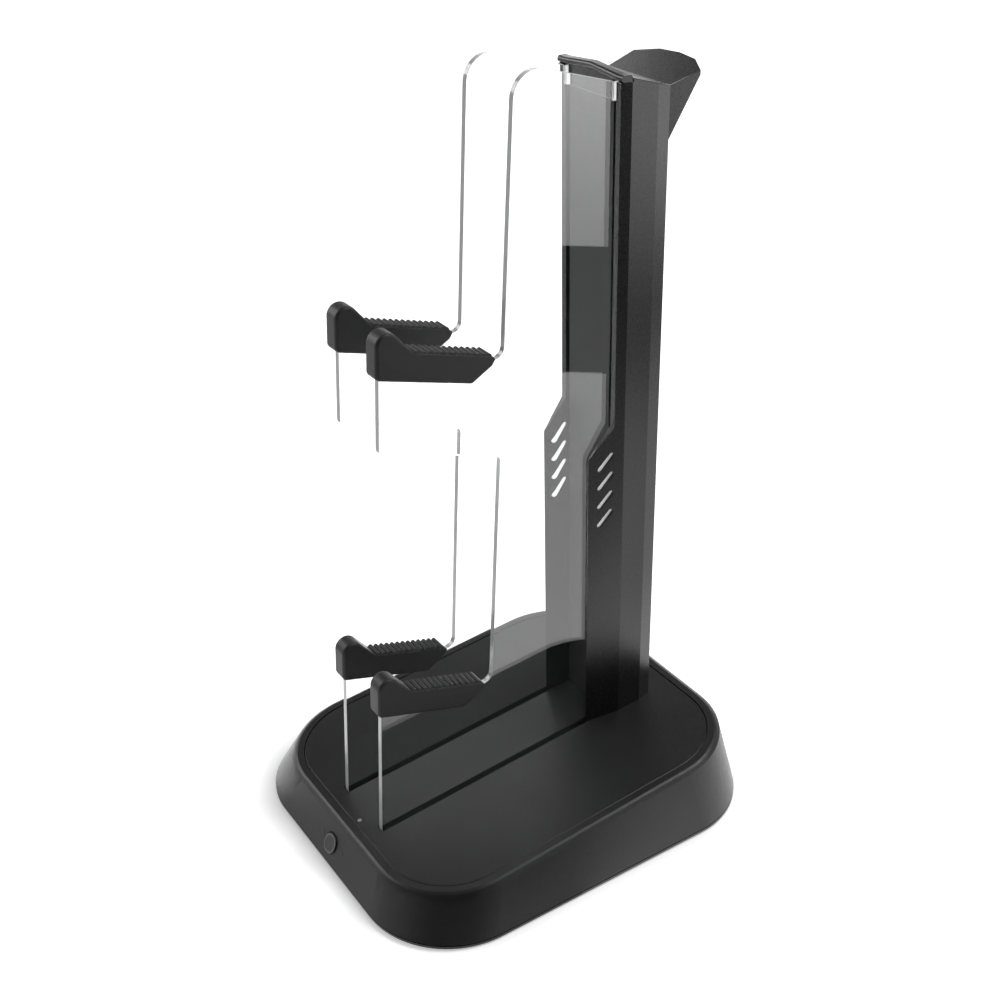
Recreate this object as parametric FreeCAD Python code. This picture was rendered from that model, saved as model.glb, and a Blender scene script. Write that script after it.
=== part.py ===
import FreeCAD, Part
import math
import os

Vector = FreeCAD.Vector

# Controller and headset stand. Millimetres and degrees, X to the right, Y to the back, Z up,
# with the origin on the ground under the middle of the base.

# Base: a wedge whose walls lean in from the foot to the rim
BASE_WIDTH = 157.6
BASE_DEPTH = 183.6
BASE_CORNER = 39.5
RIM_WIDTH = 140.8
RIM_FRONT_LEAN = 8.3
RIM_REAR_LEAN = 6.2
RIM_CORNER = 36.0
RIM_ROUND = 1.6
RIM_ROUND_HIGH = 0.5
TOP_HEIGHT = 26.5
TOP_SLOPE = 5.1
WALL = 2.4
LEDGE_WIDTH = 4.0
LEDGE_THICK = 2.0
FLOOR_THICK = 2.0
FLOOR_EDGE = 1.2
PARTING = 0.5
FIT = 0.3

# Inset top plate and the channels under it that hold the panels
PLATE_INSET = 4.6
PLATE_THICK = 3.0
PLATE_ROUND = 0.4
CHANNEL_WALL = 1.2
CHANNEL_DEEP = 5.0

# Feet
FOOT_DIAMETER = 16.0
FOOT_PROUD = 1.0
FOOT_SUNK = 0.8
FOOT_BEVEL = 0.5
FOOT_FROM_SIDE = 24.0
FOOT_FROM_END = 30.0

# Fasteners
SCREW_DIAMETER = 3.0
SCREW_HEAD = 5.6
SCREW_HEAD_THICK = 1.4
SCREW_RECESS = 1.2
SCREW_LENGTH = 8.0
SCREW_CLEAR = 0.1
POST_DIAMETER = 7.2
BASE_SCREW_Y = 38.0
COLUMN_SCREW_X = 6.0

# Clear panels: two straight front lines that lean back, joined by sloping arms
PANEL_THICK = 2.5
PANEL_SPACING = 30.0
PANEL_CLEAR = 0.25
PANEL_LEAN = 3.7
PANEL_REAR_INSET = 6.6
PANEL_TOP_Z = 314.7
LOBE_REACH = 47.5
LOBE_Z = 267.0
ARM_FRONT = 53.6
ARM_TILT = 17.0
ARM_BELOW_GRIP = 29.7
TOP_RADIUS = 10.0
STEP_RADIUS = 4.4
CORNER_RADIUS = 3.0
NOTCH_REACH = 3.5

# Rubber grips, in a frame that runs along the arm with its origin at the rear lower corner
GRIP_FROM_LOBE = 15.1
GRIP_Z = 214.9
GRIP_DROP = 146.5
GRIP_WIDTH = 8.0
GRIP_FRONT = 2.5
GRIP_HEIGHT = 12.2
GRIP_COVER = 3.4
GRIP_TAIL = 7.5
GRIP_TAIL_LOW = 7.6
GRIP_TAIL_HIGH = 11.4
GRIP_RIB_END = 6.0
GRIP_ROUND = 1.2
GRIP_BEVEL = 1.1
NOSE_RADIUS = 4.9
NOSE_UP = 13.1
NOSE_SLOPE = 35.0
RIB_COUNT = 13
RIB_DEEP = 1.0
RIB_MOUTH = 1.7

# Column: faceted walls round a channel
COLUMN_FROM_REAR = 23.2
COLUMN_DEPTH = 23.1
FIN_REACH = 11.1
FACET_DEPTH = 4.5
REAR_FACET_DEPTH = 6.6
COLUMN_HALF = 20.2
COLUMN_REAR_HALF = 18.7
FIN_EDGE = 0.4
BACK_THICK = 2.2
SPINE_SETBACK = 0.5
SPINE_WALL = 2.0
SPINE_FOOT = 12.0
SPINE_BELOW_BAR = 7.1
STEP_Z = 164.6
STEP_RISE = 12.2

# Slanted vents in the fins
VENT_COUNT = 4
VENT_PITCH = 8.87
VENT_LENGTH = 10.0
VENT_WIDTH = 2.6
VENT_ANGLE = 49.0
VENT_FROM_FIN = 7.9
VENT_BELOW_STEP = 3.0

# Headset rest on top
VALLEY_BELOW_BAR = 4.4
REST_SLOPE = 17.0
LIP_SLOPE = 15.5
LIP_DEEP = 20.5
LIP_SIDE_HALF = 20.0
LIP_SIDE_REACH = 13.1
LIP_BACK_HALF = 10.5
LIP_BACK_REACH = 18.4
LIP_PEAK_REACH = 19.6
LIP_EDGE = 1.9
BAR_DEPTH = 4.6
BAR_HEIGHT = 2.5
BAR_ROUND = 1.1
BAR_PEAK = 1.4
BAR_HALF = 19.9
REST_THICK = 2.0
APRON_THICK = 2.0
SEAM = 0.2
LUG_THICK = 2.0

# Push button in the front wall, its switch and boards
BUTTON_RADIUS = 4.3
BUTTON_Z = 9.4
BUTTON_PROUD = 0.5
BUTTON_FLANGE = 0.7
BUTTON_FLANGE_THICK = 1.0
BUTTON_CLEAR = 0.3
BUTTON_TRAVEL = 0.8
PLUNGER_DIAMETER = 2.6
PLUNGER_LENGTH = 2.4
SWITCH_SIZE = 6.0
SWITCH_THICK = 2.6
BOARD_THICK = 1.2
BOARD_WIDTH = 22.0
BOARD_GAP = 0.9
BOARD_POST = 3.6
BOARD_POST_X = 8.0
LENS_DIAMETER = 1.8
LENS_X = 5.0
LENS_FROM_LINE = 2.6
LENS_FLANGE = 3.0
LENS_FLANGE_THICK = 0.8
LAMP_SIZE = 2.0
LAMP_THICK = 0.7

# Light bars under the panels
LIGHT_BAR_THICK = 1.6
LIGHT_COUNT = 8

# Power inlet in the rear wall
SOCKET_WIDTH = 9.0
SOCKET_HEIGHT = 3.3
SOCKET_LENGTH = 7.4
SOCKET_WALL = 0.4
SOCKET_TONGUE = 0.7
SOCKET_Z = 9.5
SOCKET_CLEAR = 0.4
SOCKET_RECESS = 0.6
POWER_BOARD_WIDTH = 18.0
POWER_BOARD_DEPTH = 14.0
POWER_POST = 4.0

# Places that follow from the sizes above
FLOOR_TOP = FOOT_PROUD + FLOOR_THICK
WALL_FOOT = FOOT_PROUD + FLOOR_EDGE + PARTING
RIM_FRONT_Y = RIM_FRONT_LEAN - BASE_DEPTH / 2
RIM_REAR_Y = BASE_DEPTH / 2 - RIM_REAR_LEAN
PANEL_X = PANEL_SPACING / 2
GROOVE_INNER = PANEL_X - PANEL_THICK / 2 - PANEL_CLEAR
GROOVE_OUTER = PANEL_X + PANEL_THICK / 2 + PANEL_CLEAR
COLUMN_REAR_Y = BASE_DEPTH / 2 - COLUMN_FROM_REAR
WALL_FRONT_Y = COLUMN_REAR_Y - COLUMN_DEPTH
FIN_FRONT_Y = WALL_FRONT_Y - FIN_REACH
FACET_Y = WALL_FRONT_Y + FACET_DEPTH
REAR_FACET_Y = COLUMN_REAR_Y - REAR_FACET_DEPTH
PANEL_REAR = COLUMN_REAR_Y - PANEL_REAR_INSET
LOBE_Y = WALL_FRONT_Y - LOBE_REACH
SPINE_FRONT_Y = WALL_FRONT_Y + SPINE_SETBACK
NOTCH_Y = WALL_FRONT_Y + NOTCH_REACH
BAR_UNDER = PANEL_TOP_Z + SEAM
SPINE_TOP = BAR_UNDER - SPINE_BELOW_BAR
VALLEY_Z = BAR_UNDER - VALLEY_BELOW_BAR
BACK_INNER_Y = COLUMN_REAR_Y - BACK_THICK
CHANNEL_FLOOR = PLATE_THICK + CHANNEL_DEEP
PANEL_SEAT = CHANNEL_FLOOR - LAMP_THICK
UNDER_LEDGE = PLATE_THICK + LEDGE_THICK
LEAN = math.tan(math.radians(PANEL_LEAN))
FALL = math.tan(math.radians(ARM_TILT))
REST_FALL = math.tan(math.radians(REST_SLOPE))
LIP_RISE = math.tan(math.radians(LIP_SLOPE))
TOP_RISE = math.tan(math.radians(TOP_SLOPE))
SIDEWAYS = FreeCAD.Rotation(Vector(1, 1, 1), 120)
ON_TOP = FreeCAD.Placement(Vector(0, 0, TOP_HEIGHT), FreeCAD.Rotation(Vector(1, 0, 0), TOP_SLOPE))


def top_z(y):
    """Height of the sloping base top at a given depth."""
    return TOP_HEIGHT + y * TOP_RISE


def along_top(y):
    """Distance along the sloping base top that lies over a given depth."""
    return y / math.cos(math.radians(TOP_SLOPE))


def outline(corners, z=0.0):
    """Closed wire through (x, y, radius) corners, with a tangent arc at each corner that has a radius."""
    runs = []
    for i, (x, y, radius) in enumerate(corners):
        here = Vector(x, y, z)
        before = corners[i - 1]
        after = corners[(i + 1) % len(corners)]
        come = (here - Vector(before[0], before[1], z)).normalize()
        leave = (Vector(after[0], after[1], z) - here).normalize()
        if radius == 0:
            runs.append((here, None, here))
            continue
        half_turn = come.getAngle(leave) / 2
        inward = (leave - come).normalize()
        reach = radius * math.tan(half_turn)
        middle = here + inward * (radius / math.cos(half_turn) - radius)
        runs.append((here - come * reach, middle, here + leave * reach))
    edges = []
    for i, (start, middle, end) in enumerate(runs):
        if middle is not None:
            edges.append(Part.Arc(start, middle, end).toShape())
        following = runs[(i + 1) % len(runs)][0]
        if (following - end).Length > Part.Precision.confusion():
            edges.append(Part.makeLine(end, following))
    return Part.Wire(edges)


def slab(wire, low, high):
    """Flat outline as a solid between two heights."""
    base = wire.copy()
    base.translate(Vector(0, 0, low))
    return Part.Face(base).extrude(Vector(0, 0, high - low))


def profile(corners, left, right):
    """Side profile of (y, z, radius) corners as a solid between two X places."""
    solid = slab(outline(corners), left, right)
    solid.Placement = FreeCAD.Placement(Vector(), SIDEWAYS)
    return solid


def block(x0, x1, y0, y1, z0, z1):
    """Box between pairs of limits."""
    return Part.makeBox(x1 - x0, y1 - y0, z1 - z0, Vector(x0, y0, z0))


def rounded_box(half_width, front, rear, radius):
    """Corners of a rectangle with round corners, seen from above."""
    return [
        (half_width, front, radius),
        (half_width, rear, radius),
        (-half_width, rear, radius),
        (-half_width, front, radius),
    ]


def rod(diameter, start, direction, length):
    """Round bar from a point along a direction."""
    return Part.makeCylinder(diameter / 2, length, start, direction)


def on_top(shape):
    """Shape drawn on the level XY plane, laid on the sloping top of the base."""
    shape.Placement = ON_TOP
    return shape


def save(name, shape):
    shape.exportStep(f"parts/{name}.step")


def foot_wire(inset):
    """Outline of the base at its foot, drawn in by an inset."""
    half_depth = BASE_DEPTH / 2 - inset
    return rounded_box(BASE_WIDTH / 2 - inset, -half_depth, half_depth, BASE_CORNER - inset)


def rim_wire(inset):
    """Outline of the base at its rim, in the plane of the sloping top, drawn in by an inset."""
    front = along_top(RIM_FRONT_Y) + inset
    rear = along_top(RIM_REAR_Y) - inset
    return rounded_box(RIM_WIDTH / 2 - inset, front, rear, RIM_CORNER - inset)


def wedge(inset):
    """Solid between the foot outline and the rim outline."""
    rim = on_top(outline(rim_wire(inset)))
    return Part.makeLoft([outline(foot_wire(inset), WALL_FOOT), rim], True, True)


def rounded_wedge():
    """The same wedge with its rim rounded off in two narrow bands."""
    share = RIM_ROUND / (top_z(RIM_FRONT_Y) - WALL_FOOT)
    low = outline(rim_wire(-share * RIM_FRONT_LEAN), -RIM_ROUND)
    high = outline(rim_wire(RIM_ROUND_HIGH), -RIM_ROUND_HIGH)
    rim = outline(rim_wire(RIM_ROUND), 0.0)
    foot = outline(foot_wire(0.0), WALL_FOOT)
    return Part.makeLoft([foot, on_top(low), on_top(high), on_top(rim)], True, True)


def sunk(inset, depth):
    """Prism that goes straight down from the sloping top."""
    return on_top(slab(outline(rim_wire(inset)), -depth, RIM_ROUND))


def base_screw_places():
    x = RIM_WIDTH / 2 - PLATE_INSET - LEDGE_WIDTH / 2
    return [(sx * x, sy * BASE_SCREW_Y) for sx in (-1, 1) for sy in (-1, 1)]


def foot_places():
    x = BASE_WIDTH / 2 - FOOT_FROM_SIDE
    y = BASE_DEPTH / 2 - FOOT_FROM_END
    return {
        "front_left_foot": (-x, -y),
        "front_right_foot": (x, -y),
        "rear_left_foot": (-x, y),
        "rear_right_foot": (x, y),
    }


# Front wall of the base, seen from the side, as the button meets it
FRONT_RUN = (RIM_FRONT_Y + BASE_DEPTH / 2) / (top_z(RIM_FRONT_Y) - WALL_FOOT)
FRONT_ANGLE = math.atan(FRONT_RUN)
BUTTON_HALF_Z = BUTTON_RADIUS * math.cos(FRONT_ANGLE)
FLANGE_HALF_Z = BUTTON_HALF_Z + BUTTON_FLANGE
FLANGE_Y = -BASE_DEPTH / 2 + WALL + (BUTTON_Z + FLANGE_HALF_Z - WALL_FOOT) * FRONT_RUN + FIT
PLUNGER_Y = FLANGE_Y + BUTTON_FLANGE_THICK
SWITCH_Y = PLUNGER_Y + BUTTON_TRAVEL + FIT
BOARD_Y = SWITCH_Y + SWITCH_THICK
LENS_Y = RIM_FRONT_Y + PLATE_INSET + LENS_FROM_LINE
LENS_LOW_Z = top_z(LENS_Y) - UNDER_LEDGE - LENS_FLANGE_THICK
SOCKET_MOUTH_Y = BASE_DEPTH / 2 - SOCKET_RECESS - WALL - RIM_REAR_LEAN * SOCKET_Z / top_z(RIM_REAR_Y)
BOARD_TOP_Z = SOCKET_Z - SOCKET_HEIGHT / 2


def front_wall_y(z):
    """Outer face of the front wall at a height."""
    return -BASE_DEPTH / 2 + (z - WALL_FOOT) * FRONT_RUN


def button_section(grow):
    """Oval that a level push button needs to look round on the leaning wall."""
    wide, tall = BUTTON_RADIUS + grow, BUTTON_HALF_Z + grow
    return outline(rounded_box(wide, -tall, tall, tall))


def button_rod(grow, front, rear):
    """Oval bar along the button's travel."""
    bar = slab(button_section(grow), -rear, -front)
    bar.Placement = FreeCAD.Placement(Vector(0, 0, BUTTON_Z), FreeCAD.Rotation(Vector(1, 0, 0), 90))
    return bar


def socket_bar(grow, front, rear):
    """Bar with the flat-oval section of the inlet, along Y."""
    half_w, half_h = SOCKET_WIDTH / 2 + grow, SOCKET_HEIGHT / 2 + grow
    bar = slab(outline(rounded_box(half_w, -half_h, half_h, half_h)), -rear, -front)
    bar.Placement = FreeCAD.Placement(Vector(0, 0, SOCKET_Z), FreeCAD.Rotation(Vector(1, 0, 0), 90))
    return bar


def base_housing():
    """Moulded tray, open below, with a ledge for the top plate and posts for the screws."""
    body = rounded_wedge()
    room = wedge(WALL).cut(on_top(slab(outline(rim_wire(-BASE_WIDTH / 2)), -UNDER_LEDGE, BASE_WIDTH)))
    body = body.cut(room)
    up = Vector(0, 0, 1)
    posts = [rod(POST_DIAMETER, Vector(x, y, FLOOR_TOP), up, BASE_DEPTH) for x, y in base_screw_places()]
    reach = BOARD_Y - front_wall_y(BUTTON_Z)
    for x in (-BOARD_POST_X, BOARD_POST_X):
        posts.append(rod(BOARD_POST, Vector(x, BOARD_Y - reach, BUTTON_Z), Vector(0, 1, 0), reach))
    solid_wedge = wedge(0.0)
    body = body.fuse([p.common(solid_wedge) for p in posts])
    body = body.cut(sunk(PLATE_INSET, PLATE_THICK))
    body = body.cut(sunk(PLATE_INSET + LEDGE_WIDTH, UNDER_LEDGE + FIT))
    pilot = SCREW_DIAMETER + 2 * SCREW_CLEAR
    cuts = [rod(pilot, Vector(x, y, 0), up, SCREW_LENGTH + FLOOR_TOP) for x, y in base_screw_places()]
    cuts.append(button_rod(BUTTON_CLEAR, -BASE_DEPTH, FLANGE_Y))
    cuts.append(socket_bar(SOCKET_CLEAR, 0.0, BASE_DEPTH))
    cuts.append(on_top(lens_hole()))
    for side in (-1, 1):
        cuts.append(on_top(channel_block(side, FIT, -CHANNEL_FLOOR, -PLATE_THICK)))
    return body.cut(cuts).removeSplitter()


def slot_prism(side, low, high):
    """Straight-sided slot for one panel, on the level plane."""
    x = side * PANEL_X
    half = PANEL_THICK / 2 + PANEL_CLEAR
    front = along_top(panel_foot()[0]) - PANEL_CLEAR
    rear = along_top(PANEL_REAR) + PANEL_CLEAR
    return block(x - half, x + half, front, rear, low, high)


def channel_block(side, grow, low, high):
    """Outer block of the channel round one slot, on the level plane."""
    slot = slot_prism(side, low, high).BoundBox
    wall = CHANNEL_WALL + grow
    return block(slot.XMin - wall, slot.XMax + wall, slot.YMin - wall, slot.YMax + wall, low, high)


def lens_hole():
    """Hole for the light pipe through the plate and the ledge under it, on the level plane."""
    start = Vector(LENS_X, along_top(LENS_Y), -UNDER_LEDGE)
    return rod(LENS_DIAMETER + 2 * SCREW_CLEAR, start, Vector(0, 0, 1), BASE_DEPTH)


def base_top_plate():
    """Inset plate with two slots and a channel under each of them."""
    plate = slab(outline(rim_wire(PLATE_INSET + FIT)), -PLATE_THICK, 0.0)
    plate = plate.makeChamfer(PLATE_ROUND, [e for e in plate.Edges if e.BoundBox.ZMin > -PLATE_ROUND])
    pilot = SCREW_DIAMETER + 2 * SCREW_CLEAR
    for side in (-1, 1):
        plate = plate.fuse(channel_block(side, 0.0, -CHANNEL_FLOOR, -PLATE_THICK))
    for side in (-1, 1):
        plate = plate.cut(slot_prism(side, -CHANNEL_FLOOR, RIM_ROUND))
        plate = plate.cut(rod(pilot, column_screw_place(side), Vector(0, 0, 1), BASE_DEPTH))
    return on_top(plate.cut(lens_hole()).removeSplitter())


def column_screw_place(side):
    """Centre of a column screw's head, under the top plate, on the level plane."""
    y = along_top((SPINE_FRONT_Y + BACK_INNER_Y) / 2)
    return Vector(side * COLUMN_SCREW_X, y, -PLATE_THICK - SCREW_HEAD_THICK)


def light_bar(side):
    """Strip with a row of lamps that closes the channel under a panel."""
    slot = slot_prism(side, -CHANNEL_FLOOR, 0.0).BoundBox
    under = -CHANNEL_FLOOR
    strip = channel_block(side, 0.0, under - LIGHT_BAR_THICK, under)
    pitch = slot.YLength / LIGHT_COUNT
    half = LAMP_SIZE / 2
    x = side * PANEL_X
    for i in range(LIGHT_COUNT):
        y = slot.YMin + (i + 0.5) * pitch
        strip = strip.fuse(block(x - half, x + half, y - half, y + half, under - FIT, under + LAMP_THICK))
    return on_top(strip.removeSplitter())


def base_bottom_plate():
    """Floor with a thin edge that shows under the walls, foot recesses and screw holes."""
    plate = slab(outline(foot_wire(0.0)), FOOT_PROUD, FOOT_PROUD + FLOOR_EDGE)
    plate = plate.fuse(slab(outline(foot_wire(WALL + FIT)), FOOT_PROUD, FLOOR_TOP))
    y = SOCKET_MOUTH_Y - SOCKET_LENGTH + SOCKET_RECESS
    posts = []
    for x in (-POWER_BOARD_WIDTH / 2 + POWER_POST / 2, POWER_BOARD_WIDTH / 2 - POWER_POST / 2):
        height = BOARD_TOP_Z - BOARD_THICK - FOOT_PROUD
        posts.append(rod(POWER_POST, Vector(x, y, FOOT_PROUD), Vector(0, 0, 1), height))
    plate = plate.fuse(posts)
    up = Vector(0, 0, 1)
    foot_deep = FOOT_PROUD + FOOT_SUNK
    cuts = [rod(FOOT_DIAMETER + FIT, Vector(x, y, 0), up, foot_deep) for x, y in foot_places().values()]
    for x, y in base_screw_places():
        cuts.append(rod(SCREW_DIAMETER + 2 * SCREW_CLEAR, Vector(x, y, 0), up, BASE_DEPTH))
        cuts.append(rod(SCREW_HEAD + FIT, Vector(x, y, 0), up, FOOT_PROUD + SCREW_RECESS))
    return plate.cut(cuts).removeSplitter()


def foot(x, y):
    """Round rubber pad, part sunk into the floor."""
    pad = rod(FOOT_DIAMETER, Vector(x, y, 0), Vector(0, 0, 1), FOOT_PROUD + FOOT_SUNK)
    return pad.makeChamfer(FOOT_BEVEL, [e for e in pad.Edges if e.BoundBox.ZMax < FIT])


def screw(start):
    """Pan-head screw that points up from the outer face of its head."""
    up = Vector(0, 0, 1)
    head = rod(SCREW_HEAD, start, up, SCREW_HEAD_THICK)
    return head.fuse(rod(SCREW_DIAMETER, start, up, SCREW_HEAD_THICK + SCREW_LENGTH)).removeSplitter()


def base_screws():
    """Four screws that hold the floor to the housing."""
    low = FOOT_PROUD + SCREW_RECESS - SCREW_HEAD_THICK
    return Part.makeCompound([screw(Vector(x, y, low)) for x, y in base_screw_places()])


def column_screws():
    """Two screws that hold the spine down on the top plate."""
    return on_top(Part.makeCompound([screw(column_screw_place(side)) for side in (-1, 1)]))


def arm_front_y(z):
    """Front edge of both arms, one line that leans back."""
    return LOBE_Y - ARM_FRONT + (z - LOBE_Z) * LEAN


def lobe_front_y(z):
    """Front edge of the panel between its arms, a line parallel to the arms' front."""
    return LOBE_Y + (z - LOBE_Z) * LEAN


def meet_arm(front_y, point_y, point_z):
    """Point where a leaning front line crosses a line that falls to the back at the arms' tilt."""
    z = (point_z + (point_y - front_y(0.0)) * FALL) / (1 + LEAN * FALL)
    return front_y(z), z


def panel_foot():
    """Point where the panel's front edge meets the sloping top of the base."""
    z = (TOP_HEIGHT + arm_front_y(0.0) * TOP_RISE) / (1 - LEAN * TOP_RISE)
    return arm_front_y(z), z


def from_grip(lower, s, u):
    """Place of a point given along and above the arm, in the frame of the upper or the lower grips."""
    drop = GRIP_DROP if lower else 0.0
    tilt = math.radians(ARM_TILT)
    z = GRIP_Z - drop
    y = lobe_front_y(z) - GRIP_FROM_LOBE
    return y + s * math.cos(tilt) + u * math.sin(tilt), z - s * math.sin(tilt) + u * math.cos(tilt)


def panel(side):
    """Clear sheet with two stepped arms, let into the base and into the column's groove."""
    arm_top = GRIP_HEIGHT - GRIP_COVER
    upper_top = from_grip(False, 0.0, arm_top)
    upper_under = from_grip(False, 0.0, -ARM_BELOW_GRIP)
    lower_top = from_grip(True, 0.0, arm_top)
    slope = math.radians(TOP_SLOPE)
    sink_y, sink_z = PANEL_SEAT * math.sin(slope), PANEL_SEAT * math.cos(slope)
    foot_y, foot_z = panel_foot()
    notch_z = SPINE_TOP + SEAM
    corners = [
        (foot_y + sink_y, foot_z - sink_z, 0),
        (foot_y, foot_z, 0),
        (*meet_arm(arm_front_y, *lower_top), CORNER_RADIUS),
        (*meet_arm(lobe_front_y, *lower_top), STEP_RADIUS),
        (*meet_arm(lobe_front_y, *upper_under), CORNER_RADIUS),
        (*meet_arm(arm_front_y, *upper_under), CORNER_RADIUS),
        (*meet_arm(arm_front_y, *upper_top), CORNER_RADIUS),
        (*meet_arm(lobe_front_y, *upper_top), STEP_RADIUS),
        (*meet_arm(lobe_front_y, WALL_FRONT_Y, PANEL_TOP_Z), TOP_RADIUS),
        (NOTCH_Y, PANEL_TOP_Z - NOTCH_REACH * FALL, 0),
        (NOTCH_Y, notch_z, 0),
        (PANEL_REAR, notch_z, 0),
        (PANEL_REAR, top_z(PANEL_REAR), 0),
        (PANEL_REAR + sink_y, top_z(PANEL_REAR) - sink_z, 0),
    ]
    x = side * PANEL_X
    return profile(corners, x - PANEL_THICK / 2, x + PANEL_THICK / 2)


def grip(side, lower):
    """Rubber sleeve over an arm: round nose, ribbed top, pointed tail, open below for the panel."""
    lean = math.tan(math.radians(ARM_TILT - PANEL_LEAN))
    slope = math.radians(NOSE_SLOPE)
    base_y, base_z = from_grip(lower, 0.0, 0.0)
    arm_front = meet_arm(arm_front_y, base_y, base_z)[0]
    front_s = (arm_front - base_y) / math.cos(math.radians(ARM_TILT)) - GRIP_FRONT
    nose_front = front_s - (NOSE_UP + NOSE_RADIUS) * lean
    nose_s = front_s - NOSE_UP * lean + NOSE_RADIUS / math.cos(math.atan(lean))
    brow_s = nose_s + NOSE_RADIUS * math.tan(slope / 2)
    valley_s = brow_s + (NOSE_UP + NOSE_RADIUS - GRIP_HEIGHT) / math.tan(slope)
    points = [
        (0.0, 0.0, GRIP_ROUND),
        (GRIP_TAIL, GRIP_TAIL_LOW, 0),
        (GRIP_TAIL, GRIP_TAIL_HIGH, 0),
        (GRIP_RIB_END, GRIP_HEIGHT, 0),
        (valley_s, GRIP_HEIGHT, 0),
        (brow_s, NOSE_UP + NOSE_RADIUS, NOSE_RADIUS),
        (nose_front, NOSE_UP + NOSE_RADIUS, NOSE_RADIUS),
        (front_s, 0.0, GRIP_ROUND),
    ]
    x = side * PANEL_X
    half = GRIP_WIDTH / 2
    sleeve = profile([(*from_grip(lower, s, u), r) for s, u, r in points], x - half, x + half)
    side_edges = [e for e in sleeve.Edges if e.BoundBox.XLength < FIT]
    sleeve = sleeve.makeChamfer(GRIP_BEVEL, side_edges)
    pitch = (GRIP_RIB_END - valley_s) / RIB_COUNT
    cuts = []
    for i in range(RIB_COUNT):
        s = valley_s + (i + 0.5) * pitch
        valley = (s, GRIP_HEIGHT - RIB_DEEP)
        gap = [(s - RIB_MOUTH / 2, GRIP_HEIGHT), valley, (s + RIB_MOUTH / 2, GRIP_HEIGHT)]
        cuts.append(profile([(*from_grip(lower, a, b), 0) for a, b in gap], x - half, x + half))
    inside = PANEL_THICK / 2
    roof = GRIP_HEIGHT - GRIP_COVER
    top_line = from_grip(lower, 0.0, roof)
    under_line = from_grip(lower, 0.0, -ARM_BELOW_GRIP)
    front = [meet_arm(arm_front_y, *under_line), meet_arm(arm_front_y, *top_line)]
    tail = [from_grip(lower, GRIP_TAIL + FIT, roof), from_grip(lower, GRIP_TAIL + FIT, -ARM_BELOW_GRIP)]
    cuts.append(profile([(y, z, 0) for y, z in front + tail], x - inside, x + inside))
    return sleeve.cut(cuts).removeSplitter()


def column_section():
    """Half of the column's outer outline, from the fin's front edge to the back."""
    return [
        (GROOVE_OUTER + FIN_EDGE, FIN_FRONT_Y, 0),
        (COLUMN_HALF, FACET_Y, 0),
        (COLUMN_HALF, REAR_FACET_Y, 0),
        (COLUMN_REAR_HALF, COLUMN_REAR_Y, 0),
    ]


def rest_z(y):
    """Height of the sloping headset rest at a depth in front of the valley."""
    return VALLEY_Z + (COLUMN_REAR_Y - y) * REST_FALL


def lip():
    """Flared stop behind the valley: a faceted wedge with a raised, arched rim."""
    back_y = COLUMN_REAR_Y
    rim = [
        (COLUMN_REAR_HALF, 0.0),
        (LIP_SIDE_HALF, LIP_SIDE_REACH),
        (LIP_BACK_HALF, LIP_BACK_REACH),
        (0.0, LIP_PEAK_REACH),
    ]
    rim = rim + [(-x, reach) for x, reach in reversed(rim[:-1])]
    top = [Vector(x, back_y + reach, VALLEY_Z + reach * LIP_RISE) for x, reach in rim]
    low = [p - Vector(0, 0, LIP_EDGE) for p in top]
    low[0] = Vector(COLUMN_REAR_HALF, back_y, VALLEY_Z - LIP_DEEP)
    low[-1] = Vector(-COLUMN_REAR_HALF, back_y, VALLEY_Z - LIP_DEEP)
    right, side, rear, peak, rear_2, side_2, left = range(len(rim))
    loops = [top, [low[right], low[left], top[left], top[right]]]
    for i in range(len(rim) - 1):
        loops.append([low[i], low[i + 1], top[i + 1], top[i]])
    loops.append([low[right], low[rear], low[side]])
    loops.append([low[left], low[side_2], low[rear_2]])
    loops.append([low[right], low[left], low[rear_2], low[rear]])
    loops.append([low[rear], low[rear_2], low[peak]])
    faces = [Part.Face(Part.makePolygon(loop + [loop[0]])) for loop in loops]
    solid = Part.makeSolid(Part.makeShell(faces))
    if solid.Volume < 0:
        solid.reverse()
    return solid


def below_top(half_width):
    """Room under the plane of the sloping top, to trim what stands on it."""
    far = BASE_DEPTH
    corners = [(0.0, 0.0, 0), (0.0, top_z(0.0), 0), (far, top_z(far), 0), (far, 0.0, 0)]
    return profile(corners, -half_width, half_width)


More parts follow.
